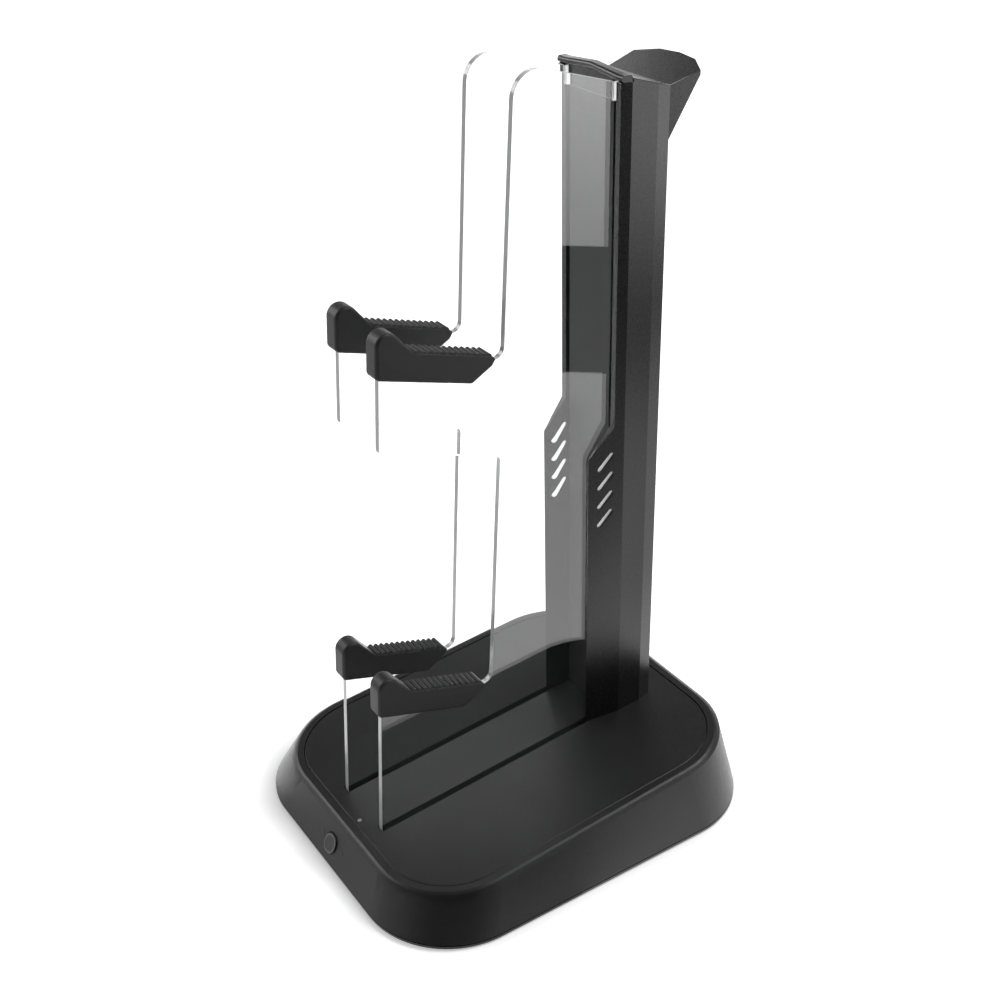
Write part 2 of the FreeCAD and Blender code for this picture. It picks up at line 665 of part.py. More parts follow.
def column_shell():
    """Faceted upright of U section, with fins low down, vents in them and the lip on top."""
    half = column_section()
    outer = half + [(-x, y, r) for x, y, r in reversed(half)]
    high = VALLEY_Z + COLUMN_REAR_Y
    body = slab(outline(outer), 0.0, high)
    body = body.cut(block(-GROOVE_OUTER, GROOVE_OUTER, 0.0, BACK_INNER_Y, 0.0, high))
    wide = COLUMN_HALF + FIT
    body = body.cut(below_top(wide))
    step = [
        (FIN_FRONT_Y, STEP_Z, 0),
        (WALL_FRONT_Y, STEP_Z + STEP_RISE, 0),
        (WALL_FRONT_Y, high, 0),
        (0.0, high, 0),
        (0.0, STEP_Z, 0),
    ]
    body = body.cut(profile(step, -wide, wide))
    bar_rear = WALL_FRONT_Y + BAR_DEPTH
    crown = [
        (0.0, BAR_UNDER, 0),
        (bar_rear + SEAM, BAR_UNDER, 0),
        (bar_rear + SEAM, rest_z(bar_rear), 0),
        (COLUMN_REAR_Y, VALLEY_Z, 0),
        (BASE_DEPTH, VALLEY_Z, 0),
        (BASE_DEPTH, BASE_DEPTH + high, 0),
        (0.0, BASE_DEPTH + high, 0),
    ]
    body = body.cut(profile(crown, -wide, wide))
    vents = []
    vent_half = VENT_WIDTH / 2
    vent_y, vent_z = FIN_FRONT_Y + VENT_FROM_FIN, STEP_Z - VENT_BELOW_STEP
    for i in range(VENT_COUNT):
        vent = slab(outline(rounded_box(VENT_LENGTH / 2, -vent_half, vent_half, vent_half)), -wide, wide)
        tilt = FreeCAD.Rotation(Vector(0, 0, 1), VENT_ANGLE)
        in_place = FreeCAD.Placement(Vector(vent_y, vent_z - i * VENT_PITCH, 0), tilt)
        vent.Placement = FreeCAD.Placement(Vector(), SIDEWAYS).multiply(in_place)
        vents.append(vent)
    return body.cut(vents).fuse(lip()).removeSplitter()


def column_spine():
    """Channel between the walls, open to the back, with a block at its foot for the screws."""
    high = SPINE_TOP
    spine = block(-GROOVE_INNER, GROOVE_INNER, SPINE_FRONT_Y, BACK_INNER_Y, 0.0, high)
    inner = GROOVE_INNER - SPINE_WALL
    foot_top = top_z(BACK_INNER_Y) + SPINE_FOOT
    spine = spine.cut(block(-inner, inner, SPINE_FRONT_Y + SPINE_WALL, BASE_DEPTH, foot_top, high))
    spine = spine.cut(below_top(COLUMN_HALF))
    holes = []
    pilot = SCREW_DIAMETER + 2 * SCREW_CLEAR
    depth = SCREW_LENGTH + SCREW_HEAD_THICK + FIT
    for side in (-1, 1):
        holes.append(on_top(rod(pilot, column_screw_place(side), Vector(0, 0, 1), depth)))
    return spine.cut(holes).removeSplitter()


def top_cap():
    """Peaked front bar, sloping rest, apron over the spine and lugs that lock the panels."""
    front, rear = WALL_FRONT_Y, WALL_FRONT_Y + BAR_DEPTH
    sections = []
    for x in (-BAR_HALF, -GROOVE_OUTER, 0.0, GROOVE_OUTER, BAR_HALF):
        low = BAR_UNDER + (BAR_PEAK if x == 0.0 else 0.0)
        high = low + BAR_HEIGHT
        round_corners = [(rear, high, BAR_ROUND), (front, high, BAR_ROUND), (front, low, BAR_ROUND)]
        wire = outline([(rear, low, 0)] + round_corners, x)
        wire.Placement = FreeCAD.Placement(Vector(), SIDEWAYS)
        sections.append(wire)
    cap = Part.makeLoft(sections, True, True)
    rest = [
        (rear - BAR_ROUND, rest_z(rear - BAR_ROUND) - REST_THICK, 0),
        (BACK_INNER_Y - SEAM, rest_z(BACK_INNER_Y - SEAM) - REST_THICK, 0),
        (BACK_INNER_Y - SEAM, rest_z(BACK_INNER_Y - SEAM), 0),
        (rear - BAR_ROUND, rest_z(rear - BAR_ROUND), 0),
    ]
    inside = GROOVE_OUTER - SEAM
    cap = cap.fuse(profile(rest, -inside, inside))
    apron_rear = SPINE_FRONT_Y + APRON_THICK
    apron_low, apron_high = SPINE_TOP + SEAM, BAR_UNDER + BAR_HEIGHT / 2
    cap = cap.fuse(block(-GROOVE_INNER, GROOVE_INNER, SPINE_FRONT_Y, apron_rear, apron_low, apron_high))
    for side in (-1, 1):
        x = side * PANEL_X
        half = PANEL_THICK / 2
        lug_front = NOTCH_Y + FIT
        lug_rear = lug_front + LUG_THICK
        cap = cap.fuse(block(x - half, x + half, lug_front, lug_rear, apron_low + FIT, rest_z(rear) - SEAM))
    return cap.removeSplitter()


def mode_button():
    """Oval push button with a face that lies along the leaning wall and a flange behind it."""
    bar = button_rod(0.0, -BASE_DEPTH, FLANGE_Y)
    tall = BASE_DEPTH
    lean = [
        (front_wall_y(0.0) - BUTTON_PROUD / math.cos(FRONT_ANGLE), 0.0, 0),
        (front_wall_y(tall) - BUTTON_PROUD / math.cos(FRONT_ANGLE), tall, 0),
        (-2 * BASE_DEPTH, tall, 0),
        (-2 * BASE_DEPTH, 0.0, 0),
    ]
    bar = bar.cut(profile(lean, -BASE_WIDTH, BASE_WIDTH))
    return bar.fuse(button_rod(BUTTON_FLANGE, FLANGE_Y, PLUNGER_Y)).removeSplitter()


def switch_plunger():
    """Short pin that the button pushes into the switch."""
    return rod(PLUNGER_DIAMETER, Vector(0, PLUNGER_Y, BUTTON_Z), Vector(0, 1, 0), PLUNGER_LENGTH)


def button_switch():
    """Square tactile switch with a bore for its plunger."""
    half = SWITCH_SIZE / 2
    body = block(-half, half, SWITCH_Y, BOARD_Y, BUTTON_Z - half, BUTTON_Z + half)
    bore = PLUNGER_DIAMETER + 2 * BUTTON_CLEAR
    deep = PLUNGER_LENGTH - FIT
    return body.cut(rod(bore, Vector(0, SWITCH_Y, BUTTON_Z), Vector(0, 1, 0), deep))


def control_board():
    """Upright board behind the button, with the indicator lamp on its front."""
    half = BOARD_WIDTH / 2
    low = FLOOR_TOP + FIT
    top = LENS_LOW_Z - BOARD_GAP
    board = block(-half, half, BOARD_Y, BOARD_Y + BOARD_THICK, low, top)
    lamp_left = LENS_X - LAMP_SIZE / 2
    lamp = block(lamp_left, lamp_left + LAMP_SIZE, BOARD_Y - LAMP_THICK, BOARD_Y, top - LAMP_SIZE, top)
    return board.fuse(lamp).removeSplitter()


def indicator_lens():
    """Small round light pipe through the rim."""
    start = Vector(LENS_X, along_top(LENS_Y), -UNDER_LEDGE - LENS_FLANGE_THICK)
    up = Vector(0, 0, 1)
    pipe = rod(LENS_DIAMETER, start, up, UNDER_LEDGE + LENS_FLANGE_THICK)
    return on_top(pipe.fuse(rod(LENS_FLANGE, start, up, LENS_FLANGE_THICK)).removeSplitter())


def power_socket():
    """Metal inlet shell with a contact tongue and a closed back."""
    mouth = SOCKET_MOUTH_Y
    inner_end = mouth - SOCKET_LENGTH
    shell = socket_bar(0.0, inner_end, mouth)
    shell = shell.cut(socket_bar(-SOCKET_WALL, inner_end + SOCKET_WALL, mouth))
    half = SOCKET_WIDTH / 2 - 2 * SOCKET_WALL - SOCKET_CLEAR
    low = SOCKET_Z - SOCKET_TONGUE / 2
    tongue = block(-half, half, inner_end, mouth - SOCKET_RECESS, low, low + SOCKET_TONGUE)
    return shell.fuse(tongue).removeSplitter()


def power_board():
    """Board under the inlet."""
    rear = SOCKET_MOUTH_Y - SOCKET_RECESS
    half = POWER_BOARD_WIDTH / 2
    return block(-half, half, rear - POWER_BOARD_DEPTH, rear, BOARD_TOP_Z - BOARD_THICK, BOARD_TOP_Z)


os.makedirs("parts", exist_ok=True)
save("base_housing", base_housing())
save("base_top_plate", base_top_plate())
save("base_bottom_plate", base_bottom_plate())
for name, (foot_x, foot_y) in foot_places().items():
    save(name, foot(foot_x, foot_y))
save("base_screws", base_screws())
save("column_shell", column_shell())
save("column_spine", column_spine())
save("column_screws", column_screws())
save("top_cap", top_cap())
for side_name, side in (("left", -1), ("right", 1)):
    save(f"{side_name}_panel", panel(side))
    save(f"{side_name}_light_bar", light_bar(side))
    save(f"upper_{side_name}_grip", grip(side, False))
    save(f"lower_{side_name}_grip", grip(side, True))
save("mode_button", mode_button())
save("switch_plunger", switch_plunger())
save("button_switch", button_switch())
save("control_board", control_board())
save("indicator_lens", indicator_lens())
save("power_socket", power_socket())
save("power_board", power_board())
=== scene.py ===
import math

import bmesh
import bpy
from mathutils import Matrix, Vector


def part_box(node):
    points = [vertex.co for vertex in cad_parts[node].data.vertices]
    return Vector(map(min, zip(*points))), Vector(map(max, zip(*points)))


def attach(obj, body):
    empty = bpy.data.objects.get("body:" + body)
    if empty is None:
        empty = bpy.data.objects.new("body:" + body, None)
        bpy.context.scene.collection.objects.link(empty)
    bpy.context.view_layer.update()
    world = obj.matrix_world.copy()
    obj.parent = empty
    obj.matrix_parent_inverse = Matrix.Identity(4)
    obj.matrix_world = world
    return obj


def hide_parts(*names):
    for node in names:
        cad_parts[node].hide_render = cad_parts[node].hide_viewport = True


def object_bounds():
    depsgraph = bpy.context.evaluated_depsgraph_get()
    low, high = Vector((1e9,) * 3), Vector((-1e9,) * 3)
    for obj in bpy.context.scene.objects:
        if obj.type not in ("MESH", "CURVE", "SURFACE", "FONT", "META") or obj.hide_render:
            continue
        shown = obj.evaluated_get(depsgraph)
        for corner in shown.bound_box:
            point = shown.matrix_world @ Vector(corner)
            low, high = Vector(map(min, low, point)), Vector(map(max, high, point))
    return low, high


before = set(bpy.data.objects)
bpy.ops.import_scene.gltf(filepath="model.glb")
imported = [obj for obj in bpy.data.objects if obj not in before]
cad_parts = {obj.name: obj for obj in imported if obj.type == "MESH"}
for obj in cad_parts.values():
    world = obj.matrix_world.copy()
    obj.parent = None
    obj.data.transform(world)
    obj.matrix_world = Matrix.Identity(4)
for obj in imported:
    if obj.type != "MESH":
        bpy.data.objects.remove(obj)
cad_low, cad_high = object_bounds()


# Base housing: a wedge-shaped tray moulded in black ABS, with walls that lean in to a rounded rim.
# The mould's spark-eroded skin gives it a fine satin grain, and the rim keeps a narrow flat band
# round the top plate. It carries everything else and is screwed to the floor plate from below.
WELD = 0.00002
FLAT_ANGLE = math.radians(0.4)
FACE_WEIGHT = 100
SHARP_DEGREES = 30
HOUSING_SHARP = 13


def new_piece(name, mesh):
    """Puts a mesh into the scene as an object at the origin."""
    piece = bpy.data.objects.new(name, mesh)
    bpy.context.collection.objects.link(piece)
    return piece


def plain_mesh(piece):
    """Turns a piece's modifiers into its mesh."""
    bpy.context.view_layer.update()
    evaluated = piece.evaluated_get(bpy.context.evaluated_depsgraph_get())
    finished = bpy.data.meshes.new_from_object(evaluated)
    piece.modifiers.clear()
    piece.data = finished
    return piece


def finish_form(form, name, sharp_degrees=SHARP_DEGREES):
    """A form as a piece that is smooth but for its sharp edges, with flat faces kept flat."""
    mesh = bpy.data.meshes.new(name)
    form.to_mesh(mesh)
    form.free()
    mesh.shade_smooth()
    mesh.set_sharp_from_angle(angle=math.radians(sharp_degrees))
    piece = new_piece(name, mesh)
    weighted = piece.modifiers.new("flat_faces", "WEIGHTED_NORMAL")
    weighted.weight = FACE_WEIGHT
    weighted.keep_sharp = True
    return plain_mesh(piece)


def cad_form(node):
    """A copy of a CAD piece with its flat faces joined up."""
    form = bmesh.new()
    form.from_mesh(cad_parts[node].data)
    bmesh.ops.remove_doubles(form, verts=form.verts, dist=WELD)
    bmesh.ops.dissolve_limit(form, angle_limit=FLAT_ANGLE, verts=form.verts, edges=form.edges)
    return form


def dress(piece, material, body="stand", node=None):
    """Gives a piece its material, slot and body, and takes its CAD node's place."""
    if not piece.data.materials:
        piece.data.materials.append(material)
    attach(piece, body)
    if node:
        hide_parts(node)


def socket(tree, name, kind, direction="INPUT", value=None):
    """Adds a named input or output to a node tree."""
    made = tree.interface.new_socket(name=name, in_out=direction, socket_type=kind)
    if value is not None:
        made.default_value = value


def add(tree, kind, **settings):
    """A node with its settings and its unlinked inputs."""
    node = tree.nodes.new(kind)
    for key, value in settings.items():
        if key in node.inputs:
            node.inputs[key].default_value = value
        else:
            setattr(node, key, value)
    return node


def grain_group():
    """Fine moulded grain: small pits for the bump, and a broad faint cloud for tone and gloss."""
    tree = bpy.data.node_groups.new("moulded_grain", "ShaderNodeTree")
    socket(tree, "Grain Size", "NodeSocketFloat", value=0.0004)
    socket(tree, "Cloud Size", "NodeSocketFloat", value=0.03)
    socket(tree, "Height", "NodeSocketFloat", "OUTPUT")
    socket(tree, "Cloud", "NodeSocketFloat", "OUTPUT")
    socket(tree, "Speck", "NodeSocketFloat", "OUTPUT")
    start = tree.nodes.new("NodeGroupInput")
    end = tree.nodes.new("NodeGroupOutput")
    place = tree.nodes.new("ShaderNodeTexCoord")
    per_grain = add(tree, "ShaderNodeMath", operation="DIVIDE")
    per_grain.inputs[0].default_value = 1.0
    per_cloud = add(tree, "ShaderNodeMath", operation="DIVIDE")
    per_cloud.inputs[0].default_value = 1.0
    pits = add(tree, "ShaderNodeTexVoronoi", feature="SMOOTH_F1", Smoothness=0.6)
    fine = add(tree, "ShaderNodeTexNoise", Detail=2.0, Roughness=0.6)
    cloud = add(tree, "ShaderNodeTexNoise", Detail=3.0, Roughness=0.55)
    height = add(tree, "ShaderNodeMath", operation="MULTIPLY")
    links = tree.links
    links.new(start.outputs["Grain Size"], per_grain.inputs[1])
    links.new(start.outputs["Cloud Size"], per_cloud.inputs[1])
    for texture, size in ((pits, per_grain), (fine, per_grain), (cloud, per_cloud)):
        links.new(place.outputs["Object"], texture.inputs["Vector"])
        links.new(size.outputs[0], texture.inputs["Scale"])
    links.new(pits.outputs["Distance"], height.inputs[0])
    links.new(fine.outputs["Fac"], height.inputs[1])
    links.new(height.outputs[0], end.inputs["Height"])
    links.new(cloud.outputs["Fac"], end.inputs["Cloud"])
    links.new(fine.outputs["Fac"], end.inputs["Speck"])
    return tree


GRAIN = grain_group()


def spread(tree, value, low, high, from_low=0.25, from_high=0.75):
    """A texture's middle range laid over a range of values."""
    mapped = add(tree, "ShaderNodeMapRange")
    mapped.inputs["From Min"].default_value = from_low
    mapped.inputs["From Max"].default_value = from_high
    mapped.inputs["To Min"].default_value = low
    mapped.inputs["To Max"].default_value = high
    tree.links.new(value, mapped.inputs["Value"])
    return mapped.outputs["Result"]


def grained(name, dark, light, rough, grain, bump, specular, metal=0.0):
    """A moulded or coated surface: a grain group for its tone, gloss and bump."""
    material = bpy.data.materials.new(name)
    material.use_nodes = True
    tree = material.node_tree
    shader = tree.nodes["Principled BSDF"]
    shader.inputs["Specular IOR Level"].default_value = specular
    shader.inputs["Metallic"].default_value = metal
    group = add(tree, "ShaderNodeGroup", node_tree=GRAIN)
    group.inputs["Grain Size"].default_value = grain
    tone = add(tree, "ShaderNodeMix", data_type="RGBA")
    tone.inputs["A"].default_value = (*dark, 1.0)
    tone.inputs["B"].default_value = (*light, 1.0)
    raised = add(tree, "ShaderNodeBump", Strength=bump, Distance=grain)
    links = tree.links
    links.new(spread(tree, group.outputs["Cloud"], 0.0, 1.0), tone.inputs["Factor"])
    links.new(tone.outputs["Result"], shader.inputs["Base Color"])
    links.new(spread(tree, group.outputs["Speck"], *rough), shader.inputs["Roughness"])
    links.new(group.outputs["Height"], raised.inputs["Height"])
    links.new(raised.outputs["Normal"], shader.inputs["Normal"])
    return material


base_plastic = grained(
    "base_plastic", dark=(0.0085, 0.0085, 0.009), light=(0.0115, 0.0115, 0.012),
    rough=(0.32, 0.44), grain=0.00035, bump=0.30, specular=0.36)
housing = finish_form(cad_form("base_housing"), "housing_shell", HOUSING_SHARP)
dress(housing, base_plastic, node="base_housing")


# Top plate: a flat moulding in the housing's plastic that drops into the rim and rests on a ledge,
# parted from the rim by a fine line. Two long slots, with some room at each side, let the clear
# panels through into channels under the plate.
PANEL_AWAY = 0.015
SLOT_HALF = 0.0015
SLOT_ROOM = 0.0007
SLOT_NEAR = 0.0002
PLATE_SHARP = 50


def open_slots(form):
    """Moves the long sides of both slots away from the panels."""
    for vert in form.verts:
        off = abs(vert.co.x) - PANEL_AWAY
        if abs(abs(off) - SLOT_HALF) < SLOT_NEAR:
            vert.co.x += math.copysign(SLOT_ROOM, off * vert.co.x)


form = cad_form("base_top_plate")
open_slots(form)
top_plate = finish_form(form, "top_plate", PLATE_SHARP)
dress(top_plate, base_plastic, node="base_top_plate")


# Floor plate: the thin moulding in the housing's plastic that closes the tray from below.
# Four screws hold it, and its edge shows as a narrow strip under the walls.
floor_plate = finish_form(cad_form("base_bottom_plate"), "floor_plate")
dress(floor_plate, base_plastic, node="base_bottom_plate")


# Feet: four soft rubber discs stuck into shallow recesses of the floor plate.
# They are moulded with a bevelled edge and keep the stand from sliding.
foot_rubber = grained(
    "foot_rubber", dark=(0.03, 0.03, 0.031), light=(0.045, 0.045, 0.046), rough=(0.7, 0.85),
    grain=0.0005, bump=0.5, specular=0.3)
for foot_name in ("front_left_foot", "front_right_foot", "rear_left_foot", "rear_right_foot"):
    pad = finish_form(cad_form(foot_name), foot_name + "_pad")
    dress(pad, foot_rubber, node=foot_name)


# Base screws: four plated pan-head screws driven up through the floor plate into the housing's
# posts. Their heads sit in round recesses and carry a pressed cross.
SCREW_HEAD_RADIUS = 0.0028
SCREW_HEAD_THICK = 0.0014
SCREW_HEAD_SIDES = 40
SCREW_SHANK_RADIUS = 0.0015
SCREW_SHANK_SIDES = 24
CROSS_LONG = 0.0032
CROSS_WIDE = 0.0007
CROSS_DEEP = 0.0009


def set_input(modifier, name, value):
    """Sets a tree's input by its socket's identifier."""
    items = modifier.node_group.interface.items_tree
    found = [s for s in items if s.name == name and s.in_out == "INPUT"]
    modifier[found[0].identifier] = value


def screw_tree():
    """Four screws at the corners of a rectangle: a shank, and a head with a cross cut into it."""
    tree = bpy.data.node_groups.new("corner_screws", "GeometryNodeTree")
    socket(tree, "Geometry", "NodeSocketGeometry")
    socket(tree, "Across", "NodeSocketFloat", value=0.1)
    socket(tree, "Along", "NodeSocketFloat", value=0.1)
    socket(tree, "Head Low", "NodeSocketFloat", value=0.0)
    socket(tree, "Length", "NodeSocketFloat", value=0.01)
    socket(tree, "Plating", "NodeSocketMaterial")
    socket(tree, "Geometry", "NodeSocketGeometry", "OUTPUT")
    start = tree.nodes.new("NodeGroupInput")
    end = tree.nodes.new("NodeGroupOutput")
    corners = add(tree, "GeometryNodeMeshGrid")
    corners.inputs["Vertices X"].default_value = 2
    corners.inputs["Vertices Y"].default_value = 2
    head = add(
        tree, "GeometryNodeMeshCylinder", Vertices=SCREW_HEAD_SIDES, Radius=SCREW_HEAD_RADIUS,
        Depth=SCREW_HEAD_THICK)
    first_cut = add(tree, "GeometryNodeMeshCube", Size=(CROSS_LONG, CROSS_WIDE, 2 * CROSS_DEEP))
    second_cut = add(tree, "GeometryNodeMeshCube", Size=(CROSS_WIDE, CROSS_LONG, 2 * CROSS_DEEP))
    below = (0.0, 0.0, -SCREW_HEAD_THICK / 2)
    first_low = add(tree, "GeometryNodeTransform", Translation=below)
    second_low = add(tree, "GeometryNodeTransform", Translation=below)
    carve = add(tree, "GeometryNodeMeshBoolean", operation="DIFFERENCE")
    head_up = add(tree, "GeometryNodeTransform", Translation=(0.0, 0.0, SCREW_HEAD_THICK / 2))
    shank = add(
        tree, "GeometryNodeMeshCylinder", Vertices=SCREW_SHANK_SIDES, Radius=SCREW_SHANK_RADIUS)
    half_length = add(tree, "ShaderNodeMath", operation="MULTIPLY")
    half_length.inputs[1].default_value = 0.5
    shank_place = add(tree, "ShaderNodeCombineXYZ")
    shank_up = tree.nodes.new("GeometryNodeTransform")
    screw = tree.nodes.new("GeometryNodeJoinGeometry")
    row = tree.nodes.new("GeometryNodeInstanceOnPoints")
    drop = add(tree, "ShaderNodeCombineXYZ")
    down = tree.nodes.new("GeometryNodeTransform")
    real = tree.nodes.new("GeometryNodeRealizeInstances")
    paint = tree.nodes.new("GeometryNodeSetMaterial")
    links = tree.links
    links.new(start.outputs["Across"], corners.inputs["Size X"])
    links.new(start.outputs["Along"], corners.inputs["Size Y"])
    links.new(first_cut.outputs["Mesh"], first_low.inputs["Geometry"])
    links.new(second_cut.outputs["Mesh"], second_low.inputs["Geometry"])
    links.new(head.outputs["Mesh"], carve.inputs["Mesh 1"])
    links.new(first_low.outputs["Geometry"], carve.inputs["Mesh 2"])
    links.new(second_low.outputs["Geometry"], carve.inputs["Mesh 2"])
    links.new(carve.outputs["Mesh"], head_up.inputs["Geometry"])
    links.new(start.outputs["Length"], shank.inputs["Depth"])
    links.new(start.outputs["Length"], half_length.inputs[0])
    links.new(half_length.outputs[0], shank_place.inputs["Z"])
    links.new(shank.outputs["Mesh"], shank_up.inputs["Geometry"])
    links.new(shank_place.outputs["Vector"], shank_up.inputs["Translation"])
    links.new(head_up.outputs["Geometry"], screw.inputs["Geometry"])
    links.new(shank_up.outputs["Geometry"], screw.inputs["Geometry"])
    links.new(corners.outputs["Mesh"], row.inputs["Points"])
    links.new(screw.outputs["Geometry"], row.inputs["Instance"])
    links.new(row.outputs["Instances"], down.inputs["Geometry"])
    links.new(start.outputs["Head Low"], drop.inputs["Z"])
    links.new(drop.outputs["Vector"], down.inputs["Translation"])
    links.new(down.outputs["Geometry"], real.inputs["Geometry"])
    links.new(real.outputs["Geometry"], paint.inputs["Geometry"])
    links.new(start.outputs["Plating"], paint.inputs["Material"])
    links.new(paint.outputs["Geometry"], end.inputs["Geometry"])
    return tree


steel = grained(
    "plated_steel", dark=(0.50, 0.50, 0.51), light=(0.62, 0.62, 0.63), rough=(0.22, 0.36),
    grain=0.0003, bump=0.1, specular=0.5, metal=1.0)
screws = new_piece("floor_screws", bpy.data.meshes.new("floor_screws"))
low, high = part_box("base_screws")
driven = screws.modifiers.new("screws", "NODES")
driven.node_group = screw_tree()
set_input(driven, "Across", high.x - low.x - 2 * SCREW_HEAD_RADIUS)
set_input(driven, "Along", high.y - low.y - 2 * SCREW_HEAD_RADIUS)
set_input(driven, "Head Low", low.z)
set_input(driven, "Length", high.z - low.z)
set_input(driven, "Plating", steel)
plain_mesh(screws)
screws.data.shade_smooth()
screws.data.set_sharp_from_angle(angle=math.radians(SHARP_DEGREES))
dress(screws, steel, node="base_screws")


# Button: a satin black push button in the front wall, cut off along the wall's slope so that it
# follows it. A thin pale grey ring, a little proud of its face near the edge, is a painted
# highlight of the button's edge.
BUTTON_HALF = 0.0043
BUTTON_TALL = 0.00384
FACE_RUN = 0.5077
RING_WIDE = 0.0008
RING_PROUD = 0.00006
RING_EDGE = 0.0001
RING_STEPS = 80
button_plastic = grained(
    "button_plastic", dark=(0.012, 0.012, 0.0125), light=(0.016, 0.016, 0.0165),
    rough=(0.28, 0.38), grain=0.0002, bump=0.15, specular=0.42)
button = finish_form(cad_form("mode_button"), "push_button")
dress(button, button_plastic, "button", "mode_button")
low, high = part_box("mode_button")
button_z = (low.z + high.z) / 2


def oval(inset):
    """Points round the button's oval, seen from the front, drawn in by an inset."""
    radius = BUTTON_TALL - inset
    shift = BUTTON_HALF - BUTTON_TALL
    points = []
    for i in range(RING_STEPS):
        turn = 2 * math.pi * i / RING_STEPS
        across = shift if math.cos(turn) > 0 else -shift
        points.append((across + radius * math.cos(turn), radius * math.sin(turn)))
    return points


def on_button(x, up, proud):
    """Place on the button's sloping face, or a little proud of it."""
    face_y = low.y + (up + BUTTON_TALL) * FACE_RUN
    return Vector((x, face_y - proud, button_z + up))


form = bmesh.new()
ring_inner = RING_EDGE + RING_WIDE
rings = []
for inset, proud in ((RING_EDGE, -RING_PROUD), (RING_EDGE, RING_PROUD),
                     (ring_inner, RING_PROUD), (ring_inner, -RING_PROUD)):
    rings.append([form.verts.new(on_button(x, up, proud)) for x, up in oval(inset)])
for inner, outer in zip(rings, rings[1:] + rings[:1]):
    for i in range(len(inner)):
        j = (i + 1) % len(inner)
        form.faces.new((inner[i], inner[j], outer[j], outer[i]))
bmesh.ops.recalc_face_normals(form, faces=form.faces)
# Painted highlight: a pale grey for the bright line round the button's edge and along the apron's
# seam.
painted_edge_highlight = grained(
    "painted_edge_highlight", dark=(0.17, 0.17, 0.175), light=(0.21, 0.21, 0.215), rough=(0.3, 0.4),
    grain=0.0003, bump=0.1, specular=0.4)
dress(finish_form(form, "button_ring"), painted_edge_highlight, "button")


# Switch and boards: a tactile switch behind the button with its plunger, on an upright control
# board that is stuck to two posts of the front wall, and a small power board on the floor plate.
# The switch is moulded in dark plastic, and the boards are glass fibre with a green coat.
switch_plastic = grained(
    "switch_plastic", dark=(0.02, 0.02, 0.02), light=(0.03, 0.03, 0.03), rough=(0.4, 0.55),
    grain=0.0003, bump=0.2, specular=0.4)
board_coat = grained(
    "board_coat", dark=(0.025, 0.10, 0.055), light=(0.045, 0.15, 0.085), rough=(0.25, 0.4),
    grain=0.0006, bump=0.2, specular=0.5)
switch_pin = finish_form(cad_form("switch_plunger"), "switch_pin")
dress(switch_pin, switch_plastic, "button", "switch_plunger")
switch_case = finish_form(cad_form("button_switch"), "switch_case")
dress(switch_case, switch_plastic, node="button_switch")
for node, name in (("control_board", "upright_board"), ("power_board", "inlet_board")):
    dress(finish_form(cad_form(node), name), board_coat, node=node)


# Lens: the end of a milky light pipe that comes up through the top plate and shows that the stand
# is on. It is moulded with a flange that rests under the ledge.
lens_plastic = grained(
    "lens_plastic", dark=(0.30, 0.30, 0.31), light=(0.38, 0.38, 0.39), rough=(0.2, 0.3),
    grain=0.0004, bump=0.05, specular=0.5)
lens = finish_form(cad_form("indicator_lens"), "light_pipe")
dress(lens, lens_plastic, node="indicator_lens")


# Inlet: a plated shell of pressed steel with a tongue inside, soldered to the power board.
# Its mouth stands in an opening of the rear wall.
inlet = finish_form(cad_form("power_socket"), "inlet_shell")
dress(inlet, steel, node="power_socket")


# Light bars: thin circuit strips with a white coat and small lamps, laid in the channels under the
# panels. They are stuck down, and shine up into the lower edges of the sheets.
strip_coat = grained(
    "strip_coat", dark=(0.62, 0.62, 0.60), light=(0.74, 0.74, 0.72), rough=(0.4, 0.5),
    grain=0.0006, bump=0.1, specular=0.4)
for side in ("left", "right"):
    strip = finish_form(cad_form(side + "_light_bar"), side + "_lamp_strip")
    dress(strip, strip_coat, node=side + "_light_bar")


# Column: a faceted upright of U section in satin black plastic, one moulding with its fins, slanted
# vents and the flared lip behind the headset rest. It stands on the top plate, and its lip's edges
# are rounded.
LIP_TALL = 0.040
LIP_FROM = cad_high.z - LIP_TALL
LIP_SHARP = math.radians(35)
LIP_ROUND = 0.00035
COLUMN_SHARP = 14
column_plastic = grained(
    "column_plastic", dark=(0.008, 0.008, 0.0085), light=(0.011, 0.011, 0.0115),
    rough=(0.23, 0.31), grain=0.00025, bump=0.10, specular=0.43)


def round_edges(form, chosen, round_by, segments):
    """Rounds the edges that a test picks out."""
    edges = [e for e in form.edges if len(e.link_faces) == 2 and chosen(e)]
    bmesh.ops.bevel(form, geom=edges, offset=round_by, segments=segments, profile=0.5,
                    affect="EDGES", clamp_overlap=True)


def on_lip(edge):
    """Sharp outer edges of the lip at the top of the column."""
    high_up = all(v.co.z > LIP_FROM for v in edge.verts)
    return high_up and edge.is_convex and edge.calc_face_angle() > LIP_SHARP


form = cad_form("column_shell")
round_edges(form, on_lip, LIP_ROUND, segments=3)
column = finish_form(form, "column_upright", COLUMN_SHARP)
dress(column, column_plastic, node="column_shell")


# Vent inserts: narrow pale plates, one across each slanted vent, set towards the inner side of
# the fins. They carry a painted glow, stronger on the inner side than on the outer side, that
# stands for the bright bars in the vents, as no lamp of the stand is lit.
VENT_COUNT = 4
VENT_PITCH = 0.00887
VENT_ANGLE = math.radians(49.0)
VENT_FROM_FIN = 0.0079
VENT_TOP = 0.1616
INSERT_LONG = 0.0104
INSERT_WIDE = 0.0030
INSERT_THICK = 0.0003
INSERT_OUT = 0.0171
INSERT_TURN = math.radians(8.0)
PAINTED_GLOW_INSIDE = 0.9
PAINTED_GLOW_OUTSIDE = 0.30


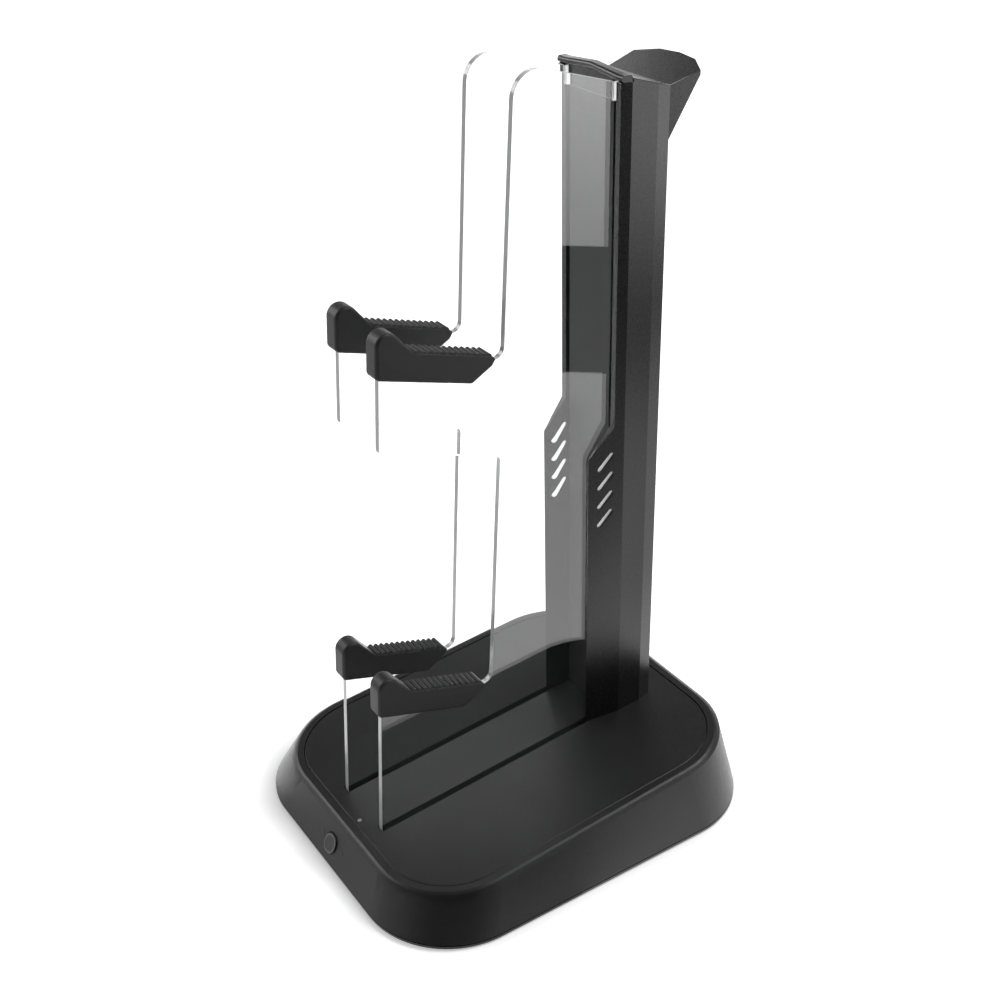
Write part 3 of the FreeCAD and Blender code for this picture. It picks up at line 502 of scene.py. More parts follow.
def insert_tree():
    """Plates one under the other, all turned to the slant of the vents and of the fin."""
    tree = bpy.data.node_groups.new("vent_inserts", "GeometryNodeTree")
    socket(tree, "Geometry", "NodeSocketGeometry")
    socket(tree, "Start", "NodeSocketVector")
    socket(tree, "Pitch", "NodeSocketFloat", value=VENT_PITCH)
    socket(tree, "Count", "NodeSocketInt", value=VENT_COUNT)
    socket(tree, "Turn", "NodeSocketVector")
    socket(tree, "Plastic", "NodeSocketMaterial")
    socket(tree, "Geometry", "NodeSocketGeometry", "OUTPUT")
    start = tree.nodes.new("NodeGroupInput")
    end = tree.nodes.new("NodeGroupOutput")
    down = add(tree, "ShaderNodeMath", operation="MULTIPLY")
    down.inputs[1].default_value = -1.0
    step = add(tree, "ShaderNodeCombineXYZ")
    line = add(tree, "GeometryNodeMeshLine", mode="OFFSET")
    plate = add(tree, "GeometryNodeMeshCube", Size=(INSERT_THICK, INSERT_LONG, INSERT_WIDE))
    turned = tree.nodes.new("GeometryNodeTransform")
    column_of_plates = tree.nodes.new("GeometryNodeInstanceOnPoints")
    real = tree.nodes.new("GeometryNodeRealizeInstances")
    paint = tree.nodes.new("GeometryNodeSetMaterial")
    links = tree.links
    links.new(start.outputs["Pitch"], down.inputs[0])
    links.new(down.outputs[0], step.inputs["Z"])
    links.new(start.outputs["Count"], line.inputs["Count"])
    links.new(start.outputs["Start"], line.inputs["Start Location"])
    links.new(step.outputs["Vector"], line.inputs["Offset"])
    links.new(start.outputs["Turn"], turned.inputs["Rotation"])
    links.new(plate.outputs["Mesh"], turned.inputs["Geometry"])
    links.new(line.outputs["Mesh"], column_of_plates.inputs["Points"])
    links.new(turned.outputs["Geometry"], column_of_plates.inputs["Instance"])
    links.new(column_of_plates.outputs["Instances"], real.inputs["Geometry"])
    links.new(real.outputs["Geometry"], paint.inputs["Geometry"])
    links.new(start.outputs["Plastic"], paint.inputs["Material"])
    links.new(paint.outputs["Geometry"], end.inputs["Geometry"])
    return tree


def painted_glow_insert_look():
    """Pale plastic with a painted glow, stronger on the inner side than on the outer side."""
    material = grained(
        "insert_painted_glow", dark=(0.74, 0.74, 0.73), light=(0.82, 0.82, 0.81), rough=(0.4, 0.5),
        grain=0.0004, bump=0.05, specular=0.4)
    tree = material.node_tree
    shader = tree.nodes["Principled BSDF"]
    # Painted glow: the plates give off light of their own.
    shader.inputs["Emission Strength"].default_value = 1.0
    place = tree.nodes.new("ShaderNodeTexCoord")
    facing = add(tree, "ShaderNodeVectorMath", operation="MULTIPLY")
    across = tree.nodes.new("ShaderNodeSeparateXYZ")
    outside = add(tree, "ShaderNodeMath", operation="GREATER_THAN")
    outside.inputs[1].default_value = 0.0
    lit = add(tree, "ShaderNodeMix", data_type="RGBA")
    lit.inputs["A"].default_value = (PAINTED_GLOW_INSIDE, PAINTED_GLOW_INSIDE, PAINTED_GLOW_INSIDE, 1.0)
    lit.inputs["B"].default_value = (PAINTED_GLOW_OUTSIDE, PAINTED_GLOW_OUTSIDE, PAINTED_GLOW_OUTSIDE, 1.0)
    links = tree.links
    links.new(place.outputs["Object"], facing.inputs[0])
    links.new(place.outputs["Normal"], facing.inputs[1])
    links.new(facing.outputs["Vector"], across.inputs["Vector"])
    links.new(across.outputs["X"], outside.inputs[0])
    links.new(outside.outputs[0], lit.inputs["Factor"])
    links.new(lit.outputs["Result"], shader.inputs["Emission Color"])
    return material


insert_painted_glow = painted_glow_insert_look()
INSERTS = insert_tree()
low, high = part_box("column_shell")
for side, out in (("left", -1), ("right", 1)):
    plates = new_piece(side + "_vent_inserts", bpy.data.meshes.new(side + "_vent_inserts"))
    column_row = plates.modifiers.new("inserts", "NODES")
    column_row.node_group = INSERTS
    set_input(column_row, "Start", (out * INSERT_OUT, low.y + VENT_FROM_FIN, VENT_TOP))
    set_input(column_row, "Turn", (VENT_ANGLE, 0.0, -out * INSERT_TURN))
    set_input(column_row, "Plastic", insert_painted_glow)
    dress(plain_mesh(plates), insert_painted_glow)


# Spine: the channel between the column's walls, a slim matt moulding that leaves a groove for each
# panel. Two screws at its foot hold it down on the top plate.
spine_plastic = grained(
    "spine_plastic", dark=(0.0125, 0.0125, 0.013), light=(0.0165, 0.0165, 0.017),
    rough=(0.42, 0.52), grain=0.00025, bump=0.1, specular=0.25)
spine = finish_form(cad_form("column_spine"), "column_channel")
dress(spine, spine_plastic, node="column_spine")
spine_screws = finish_form(cad_form("column_screws"), "spine_screws")
dress(spine_screws, steel, node="column_screws")


# Cap: the rounded front bar, the sloping headset rest behind it and the apron over the spine's end.
# It is one moulding that clips in between the column's walls.
CAP_SHARP = 35
cap_plastic = grained(
    "cap_plastic", dark=(0.010, 0.010, 0.0105), light=(0.013, 0.013, 0.0135), rough=(0.29, 0.38),
    grain=0.00025, bump=0.10, specular=0.45)
cap = finish_form(cad_form("top_cap"), "headset_rest", CAP_SHARP)
dress(cap, cap_plastic, node="top_cap")


# Panel pads: small white blocks in the panels' notches under the front bar, one in front of
# each of the cap's lugs. They carry a painted glow for the bright light in the notches. A fine
# grey bead, painted pale as a highlight along the seam, parts the apron from the spine.
PAD_HALF = 0.00122
PAD_FRONT = 0.0460
PAD_REAR = 0.0491
PAD_LOW = 0.30805
PAD_TALL = 0.0062
PAD_PAINTED_GLOW = 0.55
BEAD_HALF = 0.0134
BEAD_PROUD = 0.00006
BEAD_TALL = 0.00018
WHITE = (1.0, 1.0, 1.0, 1.0)


def block_form(low, high):
    """A plain block between two corners."""
    low, high = Vector(low), Vector(high)
    place = Matrix.Translation((low + high) / 2) @ Matrix.Diagonal((*(high - low), 1.0))
    form = bmesh.new()
    bmesh.ops.create_cube(form, size=1.0, matrix=place)
    return form


pad_painted_glow = grained(
    "pad_painted_glow", dark=(0.80, 0.80, 0.79), light=(0.86, 0.86, 0.85), rough=(0.4, 0.5),
    grain=0.0004, bump=0.05, specular=0.4)
# Painted glow: the pads give off light of their own.
pad_glow_shader = pad_painted_glow.node_tree.nodes["Principled BSDF"]
pad_glow_shader.inputs["Emission Color"].default_value = WHITE
pad_glow_shader.inputs["Emission Strength"].default_value = PAD_PAINTED_GLOW
for side, out in (("left", -1), ("right", 1)):
    middle = out * PANEL_AWAY
    pad = block_form((middle - PAD_HALF, PAD_FRONT, PAD_LOW),
                     (middle + PAD_HALF, PAD_REAR, PAD_LOW + PAD_TALL))
    dress(finish_form(pad, side + "_panel_pad"), pad_painted_glow)
# Painted highlight: the bead is painted pale grey for the bright line along the seam.
bead = block_form((-BEAD_HALF, PAD_FRONT - BEAD_PROUD, PAD_LOW - BEAD_TALL),
                  (BEAD_HALF, PAD_FRONT, PAD_LOW))
dress(finish_form(bead, "apron_bead"), painted_edge_highlight)


# Panels: two sheets of clear cast acrylic, cut to shape and polished on their edges. They stand in
# the base's slots and slide into the column's grooves. Their front edges are painted pale, and
# their top edges and the free edge of the notch are painted near white, a painted glow for the
# light the polished edges gather. The other edges are as clear as the faces.
ACRYLIC_IOR = 1.49
SHEET_ROUND = 0.00012
SHEET_CORNER = math.radians(60)
BROAD_FACE = 0.99
EDGE_FACING = 0.4
TOP_FACING = 0.6
CLEAR, PAINTED_PALE, PAINTED_BRIGHT = 0, 1, 2
NOTCH_Y = 0.0490
NOTCH_NEAR = 0.0001
NOTCH_LOW = 0.300
NOTCH_FORWARD = 0.0042
NOTCH_CORNER = 0.0005
TOP_FALL = math.tan(math.radians(17.0))


def clear_acrylic():
    """Clear acrylic with a faint unevenness in its polish, which casts hardly any shadow."""
    material = bpy.data.materials.new("clear_acrylic")
    material.use_nodes = True
    tree = material.node_tree
    shader = tree.nodes["Principled BSDF"]
    shader.inputs["Base Color"].default_value = (0.985, 0.99, 0.99, 1.0)
    shader.inputs["IOR"].default_value = ACRYLIC_IOR
    shader.inputs["Transmission Weight"].default_value = 1.0
    group = add(tree, "ShaderNodeGroup", node_tree=GRAIN)
    group.inputs["Cloud Size"].default_value = 0.05
    tree.links.new(spread(tree, group.outputs["Cloud"], 0.0, 0.012), shader.inputs["Roughness"])
    rays = tree.nodes.new("ShaderNodeLightPath")
    clear = add(tree, "ShaderNodeBsdfTransparent", Color=(0.96, 0.965, 0.965, 1.0))
    through = tree.nodes.new("ShaderNodeMixShader")
    end = tree.nodes["Material Output"]
    tree.links.new(rays.outputs["Is Shadow Ray"], through.inputs["Fac"])
    tree.links.new(shader.outputs["BSDF"], through.inputs[1])
    tree.links.new(clear.outputs["BSDF"], through.inputs[2])
    tree.links.new(through.outputs["Shader"], end.inputs["Surface"])
    return material


acrylic = clear_acrylic()
# Painted glow: opaque pale and near-white colours for the edges, in place of the light in the
# acrylic.
front_edge_painted_glow = grained(
    "acrylic_front_edge", dark=(0.80, 0.81, 0.815), light=(0.88, 0.89, 0.895), rough=(0.12, 0.22),
    grain=0.0012, bump=0.05, specular=0.5)
top_edge_painted_glow = grained(
    "acrylic_top_edge", dark=(0.90, 0.91, 0.91), light=(0.95, 0.955, 0.955), rough=(0.12, 0.22),
    grain=0.0012, bump=0.05, specular=0.5)


def along_sheet(edge):
    """Edges between a sheet's broad faces and its narrow ones."""
    run = edge.verts[1].co - edge.verts[0].co
    return abs(run.x) < WELD and edge.calc_face_angle() > SHEET_CORNER


def edge_look(normal, height):
    """Which look a sheet's face has: clear, or painted glow, pale at the front and bright at top
    and notch.
    """
    broad = abs(normal.x) > BROAD_FACE
    rearward = normal.y > EDGE_FACING
    if rearward and not broad and height > NOTCH_LOW:
        return PAINTED_BRIGHT
    if broad or rearward or normal.z < -EDGE_FACING:
        return CLEAR
    return PAINTED_BRIGHT if normal.z > TOP_FACING else PAINTED_PALE


def free_notch(form):
    """Brings the upright edge of the notch under the front bar forward, out of the groove."""
    edge = [v for v in form.verts if abs(v.co.y - NOTCH_Y) < NOTCH_NEAR]
    highest = max(v.co.z for v in edge)
    for vert in edge:
        vert.co.y -= NOTCH_FORWARD
        if vert.co.z > highest - NOTCH_CORNER:
            vert.co.z += NOTCH_FORWARD * TOP_FALL


for side in ("left", "right"):
    form = cad_form(side + "_panel")
    free_notch(form)
    round_edges(form, along_sheet, SHEET_ROUND, segments=2)
    for face in form.faces:
        face.material_index = edge_look(face.normal, face.calc_center_median().z)
    sheet = finish_form(form, side + "_sheet")
    for look in (acrylic, front_edge_painted_glow, top_edge_painted_glow):
        sheet.data.materials.append(look)
    dress(sheet, acrylic, node=side + "_panel")


# Grips: black rubber sleeves pushed over the arms, moulded with a round nose that keeps a
# controller from sliding off, a row of narrow cross ribs on top and a tapered tail. Their sides are
# well rounded.
ARM_TILT = math.radians(17.0)
FRONT_LEAN = math.radians(13.3)
GRIP_LENGTH = 0.04195
GRIP_HALF_WIDTH = 0.0040
GRIP_SHARP = 50
NOSE_RADIUS = 0.0049
NOSE_UP = 0.0131
NOSE_SLOPE = math.radians(35.0)
NOSE_STEPS = 28
RIB_TOP = 0.0122
RIB_DEEP = 0.0010
RIB_END = 0.0060
RIB_COUNT = 13
RIB_SIDES = 8
TAIL = 0.0075
TAIL_LOW = 0.0076
TAIL_HIGH = 0.0114
SIDE_ROUND = 0.0013
RIB_SIDE_ROUND = 0.0004
VALLEY_ROUND = 0.0020
RIB_END_ROUND = 0.0008
TAIL_ROUND = 0.0014
REAR_ROUND = 0.0016
FRONT_ROUND = 0.0024
NOSE_S = -GRIP_LENGTH - NOSE_UP * math.tan(FRONT_LEAN) + NOSE_RADIUS / math.cos(FRONT_LEAN)
VALLEY_U = RIB_TOP - RIB_DEEP
NOSE_BACK_S = NOSE_S + NOSE_RADIUS * math.sin(NOSE_SLOPE)
NOSE_BACK_U = NOSE_UP + NOSE_RADIUS * math.cos(NOSE_SLOPE)
VALLEY_S = NOSE_BACK_S + (NOSE_BACK_U - VALLEY_U) / math.tan(NOSE_SLOPE)
RIB_PITCH = (RIB_END - VALLEY_S) / RIB_COUNT
NOSE_TOP = -NOSE_S * math.sin(ARM_TILT) + NOSE_UP * math.cos(ARM_TILT) + NOSE_RADIUS
TAIL_REAR = TAIL * math.cos(ARM_TILT) + TAIL_HIGH * math.sin(ARM_TILT)


def rounded_corner(before, corner, after, radius, steps=7):
    """Points of the arc that rounds one corner of an outline."""
    come, leave = (before - corner).normalized(), (after - corner).normalized()
    half = come.angle(leave) / 2
    reach = radius / math.tan(half)
    centre = corner + (come + leave).normalized() * radius / math.sin(half)
    first, last = corner + come * reach - centre, corner + leave * reach - centre
    turn = first.angle_signed(last)
    return [centre + Matrix.Rotation(-turn * i / steps, 2) @ first for i in range(steps + 1)]


def grip_outline():
    """Side outline of a sleeve along (s) and above (u) the arm, with the side edge's rounding."""
    start, stop = math.pi + FRONT_LEAN, math.pi / 2 - NOSE_SLOPE
    nose = Vector((NOSE_S, NOSE_UP))
    arc = []
    for i in range(NOSE_STEPS + 1):
        turn = start + (stop - start) * i / NOSE_STEPS
        arc.append(nose + NOSE_RADIUS * Vector((math.cos(turn), math.sin(turn))))
    corners = [
        (Vector((VALLEY_S, VALLEY_U)), VALLEY_ROUND, RIB_SIDE_ROUND),
        (Vector((RIB_END, VALLEY_U)), RIB_END_ROUND, RIB_SIDE_ROUND),
        (Vector((TAIL, TAIL_HIGH - RIB_DEEP)), RIB_END_ROUND, RIB_SIDE_ROUND),
        (Vector((TAIL, TAIL_LOW)), TAIL_ROUND, SIDE_ROUND),
        (Vector((0.0, 0.0)), REAR_ROUND, SIDE_ROUND),
        (Vector((-GRIP_LENGTH, 0.0)), FRONT_ROUND, SIDE_ROUND),
    ]
    places = [arc[-1]] + [corner for corner, _, _ in corners] + [arc[0]]
    points = [(p, SIDE_ROUND) for p in arc]
    for i, (corner, radius, side_round) in enumerate(corners):
        bend = rounded_corner(places[i], corner, places[i + 2], radius)
        points += [(p, side_round) for p in bend]
    return points


def in_arm(origin, s, u):
    """Place of a point given along and above an arm."""
    y = s * math.cos(ARM_TILT) + u * math.sin(ARM_TILT)
    z = -s * math.sin(ARM_TILT) + u * math.cos(ARM_TILT)
    return Vector((origin.x, origin.y + y, origin.z + z))


def sleeve_form(origin, steps=5):
    """A sleeve of rings across the arm, drawn in towards both sides along a quarter circle."""
    points = grip_outline()
    count = len(points)
    form = bmesh.new()
    rings = []
    turns = [math.pi / 2 * i / steps for i in range(steps + 1)]
    for side, turn in [(-1, t) for t in reversed(turns)] + [(1, t) for t in turns]:
        ring = []
        for i, (point, side_round) in enumerate(points):
            run = points[(i + 1) % count][0] - points[i - 1][0]
            inward = Vector((run.y, -run.x)).normalized()
            drawn = point + inward * side_round * (1 - math.cos(turn))
            x = side * (GRIP_HALF_WIDTH - side_round * (1 - math.sin(turn)))
            ring.append(form.verts.new(in_arm(origin, *drawn) + Vector((x, 0, 0))))
        rings.append(ring)
    form.faces.new(rings[0])
    form.faces.new(reversed(rings[-1]))
    for ring, following in zip(rings, rings[1:]):
        for i in range(count):
            j = (i + 1) % count
            form.faces.new((ring[j], ring[i], following[i], following[j]))
    bmesh.ops.recalc_face_normals(form, faces=form.faces)
    return form


def rib_tree():
    """Cross ribs in a row: eight-sided bars laid side by side, half sunk in the sleeve."""
    tree = bpy.data.node_groups.new("cross_ribs", "GeometryNodeTree")
    socket(tree, "Geometry", "NodeSocketGeometry")
    socket(tree, "Start", "NodeSocketVector")
    socket(tree, "Step", "NodeSocketVector")
    socket(tree, "Count", "NodeSocketInt", value=RIB_COUNT)
    socket(tree, "Radius", "NodeSocketFloat", value=RIB_DEEP)
    socket(tree, "Width", "NodeSocketFloat", value=2 * GRIP_HALF_WIDTH)
    socket(tree, "Tilt", "NodeSocketVector")
    socket(tree, "Rubber", "NodeSocketMaterial")
    socket(tree, "Geometry", "NodeSocketGeometry", "OUTPUT")
    start = tree.nodes.new("NodeGroupInput")
    end = tree.nodes.new("NodeGroupOutput")
    line = add(tree, "GeometryNodeMeshLine", mode="OFFSET")
    bar = add(tree, "GeometryNodeMeshCylinder", Vertices=RIB_SIDES)
    lie = add(tree, "GeometryNodeTransform", Rotation=(0.0, math.pi / 2, 0.0))
    lean = tree.nodes.new("GeometryNodeTransform")
    row = tree.nodes.new("GeometryNodeInstanceOnPoints")
    real = tree.nodes.new("GeometryNodeRealizeInstances")
    paint = tree.nodes.new("GeometryNodeSetMaterial")
    links = tree.links
    links.new(start.outputs["Count"], line.inputs["Count"])
    links.new(start.outputs["Start"], line.inputs["Start Location"])
    links.new(start.outputs["Step"], line.inputs["Offset"])
    links.new(start.outputs["Radius"], bar.inputs["Radius"])
    links.new(start.outputs["Width"], bar.inputs["Depth"])
    links.new(bar.outputs["Mesh"], lie.inputs["Geometry"])
    links.new(lie.outputs["Geometry"], lean.inputs["Geometry"])
    links.new(start.outputs["Tilt"], lean.inputs["Rotation"])
    links.new(line.outputs["Mesh"], row.inputs["Points"])
    links.new(lean.outputs["Geometry"], row.inputs["Instance"])
    links.new(row.outputs["Instances"], real.inputs["Geometry"])
    links.new(real.outputs["Geometry"], paint.inputs["Geometry"])
    links.new(start.outputs["Rubber"], paint.inputs["Material"])
    links.new(paint.outputs["Geometry"], end.inputs["Geometry"])
    return tree


grip_rubber = grained(
    "grip_rubber", dark=(0.014, 0.014, 0.0145), light=(0.018, 0.018, 0.0185), rough=(0.42, 0.56),
    grain=0.0003, bump=0.3, specular=0.4)
RIBS = rib_tree()
for level in ("upper", "lower"):
    for side in ("left", "right"):
        node = f"{level}_{side}_grip"
        low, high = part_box(node)
        rear_corner = Vector(((low.x + high.x) / 2, high.y - TAIL_REAR, high.z - NOSE_TOP))
        sleeve = finish_form(sleeve_form(rear_corner), f"{level}_{side}_sleeve", GRIP_SHARP)
        first = in_arm(rear_corner, VALLEY_S + RIB_PITCH / 2, VALLEY_U)
        second = in_arm(rear_corner, VALLEY_S + RIB_PITCH * 3 / 2, VALLEY_U)
        ribs = new_piece(f"{level}_{side}_ribs", bpy.data.meshes.new(node))
        row = ribs.modifiers.new("ribs", "NODES")
        row.node_group = RIBS
        set_input(row, "Start", first)
        set_input(row, "Step", second - first)
        set_input(row, "Tilt", (-ARM_TILT, 0.0, 0.0))
        set_input(row, "Width", 2 * (GRIP_HALF_WIDTH - RIB_SIDE_ROUND / 2))
        set_input(row, "Rubber", grip_rubber)
        plain_mesh(ribs)
        ribs.data.shade_smooth()
        ribs.data.set_sharp_from_angle(angle=math.radians(GRIP_SHARP))
        dress(sleeve, grip_rubber, node=node)
        dress(ribs, grip_rubber)


# Studio: a white floor whose glow is cut beside the stand, a painted shade there under the
# lamps' shadow, a white surround, a dim ceiling and a dark wall behind the camera. Soft lamps
# stand at the left and the back. The cards show only in reflections, where they make the pale
# bands on the column and the base.
FLOOR_REACH = 4.0
FLOOR_COLOUR = (0.8, 0.8, 0.8, 1.0)
FLOOR_GLOW_IN_PAINTED_SHADE = 0.42
FLOOR_AWAY = 1.0
FLOOR_IN_GLOSS = 0.72
PAINTED_SHADE_REACH = 0.018
BASE_CORNER = 0.045
CEILING_HEIGHT = 1.5
CEILING_GLOW = 0.20
WALL_SIDE = Vector((0.84, -0.54, 0))
WALL_ALONG = Vector((0.54, 0.84, 0))
WALL_AWAY = 1.1
WALL_HALF = 1.0
WALL_HALF_TALL = 0.6
WALL_GLOW = 0.03
ROOM_LIGHT = 0.6
LAMP_AIM = Vector((0.0, 0.0, 0.12))


def flat_sheet(name, centre, across, along):
    """A rectangle of the studio, given its middle and its two half sides."""
    centre, across, along = Vector(centre), Vector(across), Vector(along)
    corners = [centre - across - along, centre + across - along,
               centre + across + along, centre - across + along]
    mesh = bpy.data.meshes.new(name)
    mesh.from_pydata(corners, [], [(0, 1, 2, 3)])
    piece = new_piece(name, mesh)
    return piece


def seen_directly(tree):
    """One for rays that show the surround: from the camera, off a gloss or through acrylic."""
    rays = tree.nodes.new("ShaderNodeLightPath")
    first = add(tree, "ShaderNodeMath", operation="MAXIMUM")
    second = add(tree, "ShaderNodeMath", operation="MAXIMUM")
    tree.links.new(rays.outputs["Is Camera Ray"], first.inputs[0])
    tree.links.new(rays.outputs["Is Glossy Ray"], first.inputs[1])
    tree.links.new(first.outputs[0], second.inputs[0])
    tree.links.new(rays.outputs["Is Transmission Ray"], second.inputs[1])
    return second.outputs[0]


def glowing(name, strength):
    """A plain white glow."""
    material = bpy.data.materials.new(name)
    material.use_nodes = True
    tree = material.node_tree
    tree.nodes.remove(tree.nodes["Principled BSDF"])
    glow = add(tree, "ShaderNodeEmission", Color=WHITE, Strength=strength)
    tree.links.new(glow.outputs["Emission"], tree.nodes["Material Output"].inputs["Surface"])
    return material


def floor_glow_with_painted_shade(tree):
    """Floor glow: least beside the base, painted shade where its shadow shows; white beyond."""
    middle = (cad_low + cad_high) / 2
    half = (cad_high - cad_low) / 2
    place = tree.nodes.new("ShaderNodeTexCoord")
    from_middle = add(tree, "ShaderNodeVectorMath", operation="SUBTRACT")
    from_middle.inputs[1].default_value = middle
    level = add(tree, "ShaderNodeVectorMath", operation="MULTIPLY")
    level.inputs[1].default_value = (1.0, 1.0, 0.0)
    positive = add(tree, "ShaderNodeVectorMath", operation="ABSOLUTE")
    past_core = add(tree, "ShaderNodeVectorMath", operation="SUBTRACT")
    past_core.inputs[1].default_value = (half.x - BASE_CORNER, half.y - BASE_CORNER, 0.0)
    outside = add(tree, "ShaderNodeVectorMath", operation="MAXIMUM")
    away = add(tree, "ShaderNodeVectorMath", operation="LENGTH")
    rays = tree.nodes.new("ShaderNodeLightPath")
    straight = add(tree, "ShaderNodeMath", operation="MAXIMUM")
    lit = add(tree, "ShaderNodeMath", operation="MULTIPLY")
    only_gloss = add(tree, "ShaderNodeMath", operation="GREATER_THAN")
    total = add(tree, "ShaderNodeMath", operation="MULTIPLY_ADD")
    total.inputs[1].default_value = FLOOR_IN_GLOSS
    links = tree.links
    links.new(place.outputs["Object"], from_middle.inputs[0])
    links.new(from_middle.outputs["Vector"], level.inputs[0])
    links.new(level.outputs["Vector"], positive.inputs[0])
    links.new(positive.outputs["Vector"], past_core.inputs[0])
    links.new(past_core.outputs["Vector"], outside.inputs[0])
    links.new(outside.outputs["Vector"], away.inputs[0])
    # Painted shade: the floor's glow drops to its least within a short reach of the base.
    lift = spread(tree, away.outputs["Value"], FLOOR_GLOW_IN_PAINTED_SHADE, FLOOR_AWAY,
                  BASE_CORNER, BASE_CORNER + PAINTED_SHADE_REACH)
    links.new(rays.outputs["Is Camera Ray"], straight.inputs[0])
    links.new(rays.outputs["Is Transmission Ray"], straight.inputs[1])
    links.new(straight.outputs[0], lit.inputs[0])
    links.new(lift, lit.inputs[1])
    links.new(rays.outputs["Is Glossy Ray"], only_gloss.inputs[0])
    links.new(straight.outputs[0], only_gloss.inputs[1])
    links.new(only_gloss.outputs[0], total.inputs[0])
    links.new(lit.outputs[0], total.inputs[2])
    return total.outputs[0]


floor = flat_sheet("studio_floor", (0, 0, cad_low.z), (FLOOR_REACH, 0, 0), (0, FLOOR_REACH, 0))
floor_paint = bpy.data.materials.new("floor_paint")
floor_paint.use_nodes = True
tree = floor_paint.node_tree
tree.nodes.remove(tree.nodes["Principled BSDF"])
matt = add(tree, "ShaderNodeBsdfDiffuse", Color=FLOOR_COLOUR)
glow = add(tree, "ShaderNodeEmission", Color=WHITE)
both = tree.nodes.new("ShaderNodeAddShader")
tree.links.new(floor_glow_with_painted_shade(tree), glow.inputs["Strength"])
tree.links.new(matt.outputs["BSDF"], both.inputs[0])
tree.links.new(glow.outputs["Emission"], both.inputs[1])
tree.links.new(both.outputs["Shader"], tree.nodes["Material Output"].inputs["Surface"])
floor.data.materials.append(floor_paint)

ceiling = flat_sheet(
    "dim_ceiling", (0, 0, CEILING_HEIGHT), (FLOOR_REACH, 0, 0), (0, FLOOR_REACH, 0))
ceiling.data.materials.append(glowing("ceiling_grey", CEILING_GLOW))
wall = flat_sheet(
    "dark_wall", WALL_SIDE * WALL_AWAY + Vector((0, 0, WALL_HALF_TALL)), WALL_ALONG * WALL_HALF,
    (0, 0, WALL_HALF_TALL))
wall.data.materials.append(glowing("wall_black", WALL_GLOW))
for card in (ceiling, wall):
    card.visible_camera = False
    card.visible_transmission = False

CARD_Z = cad_low.z + 0.0005
CARD_OUT = Vector((0.77, 0.64, 0)).normalized()
CARD_ALONG = Vector((-CARD_OUT.y, CARD_OUT.x, 0))
BESIDE_END = 0.17
NEAR_END = 0.46
GAP_END = 0.715
FULL_GLOW_AT = 1.25
FAR_END = 2.2


def shown_in_gloss(card, name, strength):
    """A card that glows in reflections, lets other rays pass and neither lights nor shades."""
    material = glowing(name, strength)
    tree = material.node_tree
    rays = tree.nodes.new("ShaderNodeLightPath")
    reflected = add(tree, "ShaderNodeMath", operation="GREATER_THAN")
    reflected.inputs[1].default_value = 0.5
    clear = tree.nodes.new("ShaderNodeBsdfTransparent")
    choose = tree.nodes.new("ShaderNodeMixShader")
    tree.links.new(rays.outputs["Glossy Depth"], reflected.inputs[0])
    tree.links.new(reflected.outputs[0], choose.inputs["Fac"])
    tree.links.new(clear.outputs["BSDF"], choose.inputs[1])
    tree.links.new(tree.nodes["Emission"].outputs["Emission"], choose.inputs[2])
    tree.links.new(choose.outputs["Shader"], tree.nodes["Material Output"].inputs["Surface"])
    card.data.materials.append(material)
    card.visible_camera = False
    card.visible_diffuse = False
    card.visible_shadow = False


def right_card(name, out, along, strength, far_strength=None):
    """A card on the floor at the right, between two distances out and two places along."""
    (near, far), (first, last) = out, along
    centre = CARD_OUT * (near + far) / 2 + CARD_ALONG * (first + last) / 2 + Vector((0, 0, CARD_Z))
    card = flat_sheet(name, centre, CARD_OUT * (far - near) / 2, CARD_ALONG * (last - first) / 2)
    shown_in_gloss(card, name, strength)
    if far_strength:
        tree = card.data.materials[0].node_tree
        place = tree.nodes.new("ShaderNodeTexCoord")
        away = add(tree, "ShaderNodeVectorMath", operation="DOT_PRODUCT")
        away.inputs[1].default_value = CARD_OUT
        tree.links.new(place.outputs["Object"], away.inputs[0])
        rising = spread(tree, away.outputs["Value"], strength, far_strength, near, FULL_GLOW_AT)
        tree.links.new(rising, tree.nodes["Emission"].inputs["Strength"])


for name, out, along, strength in (
        ("beside_card", (0.0, BESIDE_END), (-0.06, 0.18), 2.0),
        ("near_front_card", (BESIDE_END, NEAR_END), (-0.06, 0.012), 1.95),
        ("near_back_card", (BESIDE_END, NEAR_END), (0.012, 0.30), 1.4),
        ("dim_front_card", (0.095, NEAR_END), (-0.60, -0.06), 0.50),
        ("dark_gap_card", (NEAR_END, GAP_END), (-0.90, 0.90), 0.02),
        ("dark_front_card", (GAP_END, FAR_END), (-0.90, -0.25), 0.02)):
    right_card(name, out, along, strength)
for name, along, strength, far_strength in (
        ("far_front_card", (-0.25, -0.13), 2.2, 6.0),
        ("far_middle_card", (-0.13, 0.20), 2.0, 3.6),
        ("far_back_card", (0.20, 0.62), 2.5, 4.4)):
    right_card(name, (GAP_END, FAR_END), along, strength, far_strength)
for name, centre, across, along, strength in (
        ("left_white_card", (-0.26, 0.24, CARD_Z), (0.20, 0, 0), (0, 0.26, 0), 4.0),
        ("corner_card", (-0.16, -0.08, CARD_Z), (0.10, 0, 0), (0, 0.06, 0), 2.2),
        ("back_left_card", (-1.5, 1.3, CARD_Z), (0.7, 0, 0), (0, 0.7, 0), 1.4),
        ("horizon_card", (-0.90, 0.82, 0.50), (0.2278, 0.2516, 0), (0, 0, 0.14), 3.0),
        ("side_card", (-1.10, 0.42, 0.85), (0.0864, 0.2232, 0), (0, 0, 0.14), 2.5)):
    shown_in_gloss(flat_sheet(name, centre, across, along), name, strength)

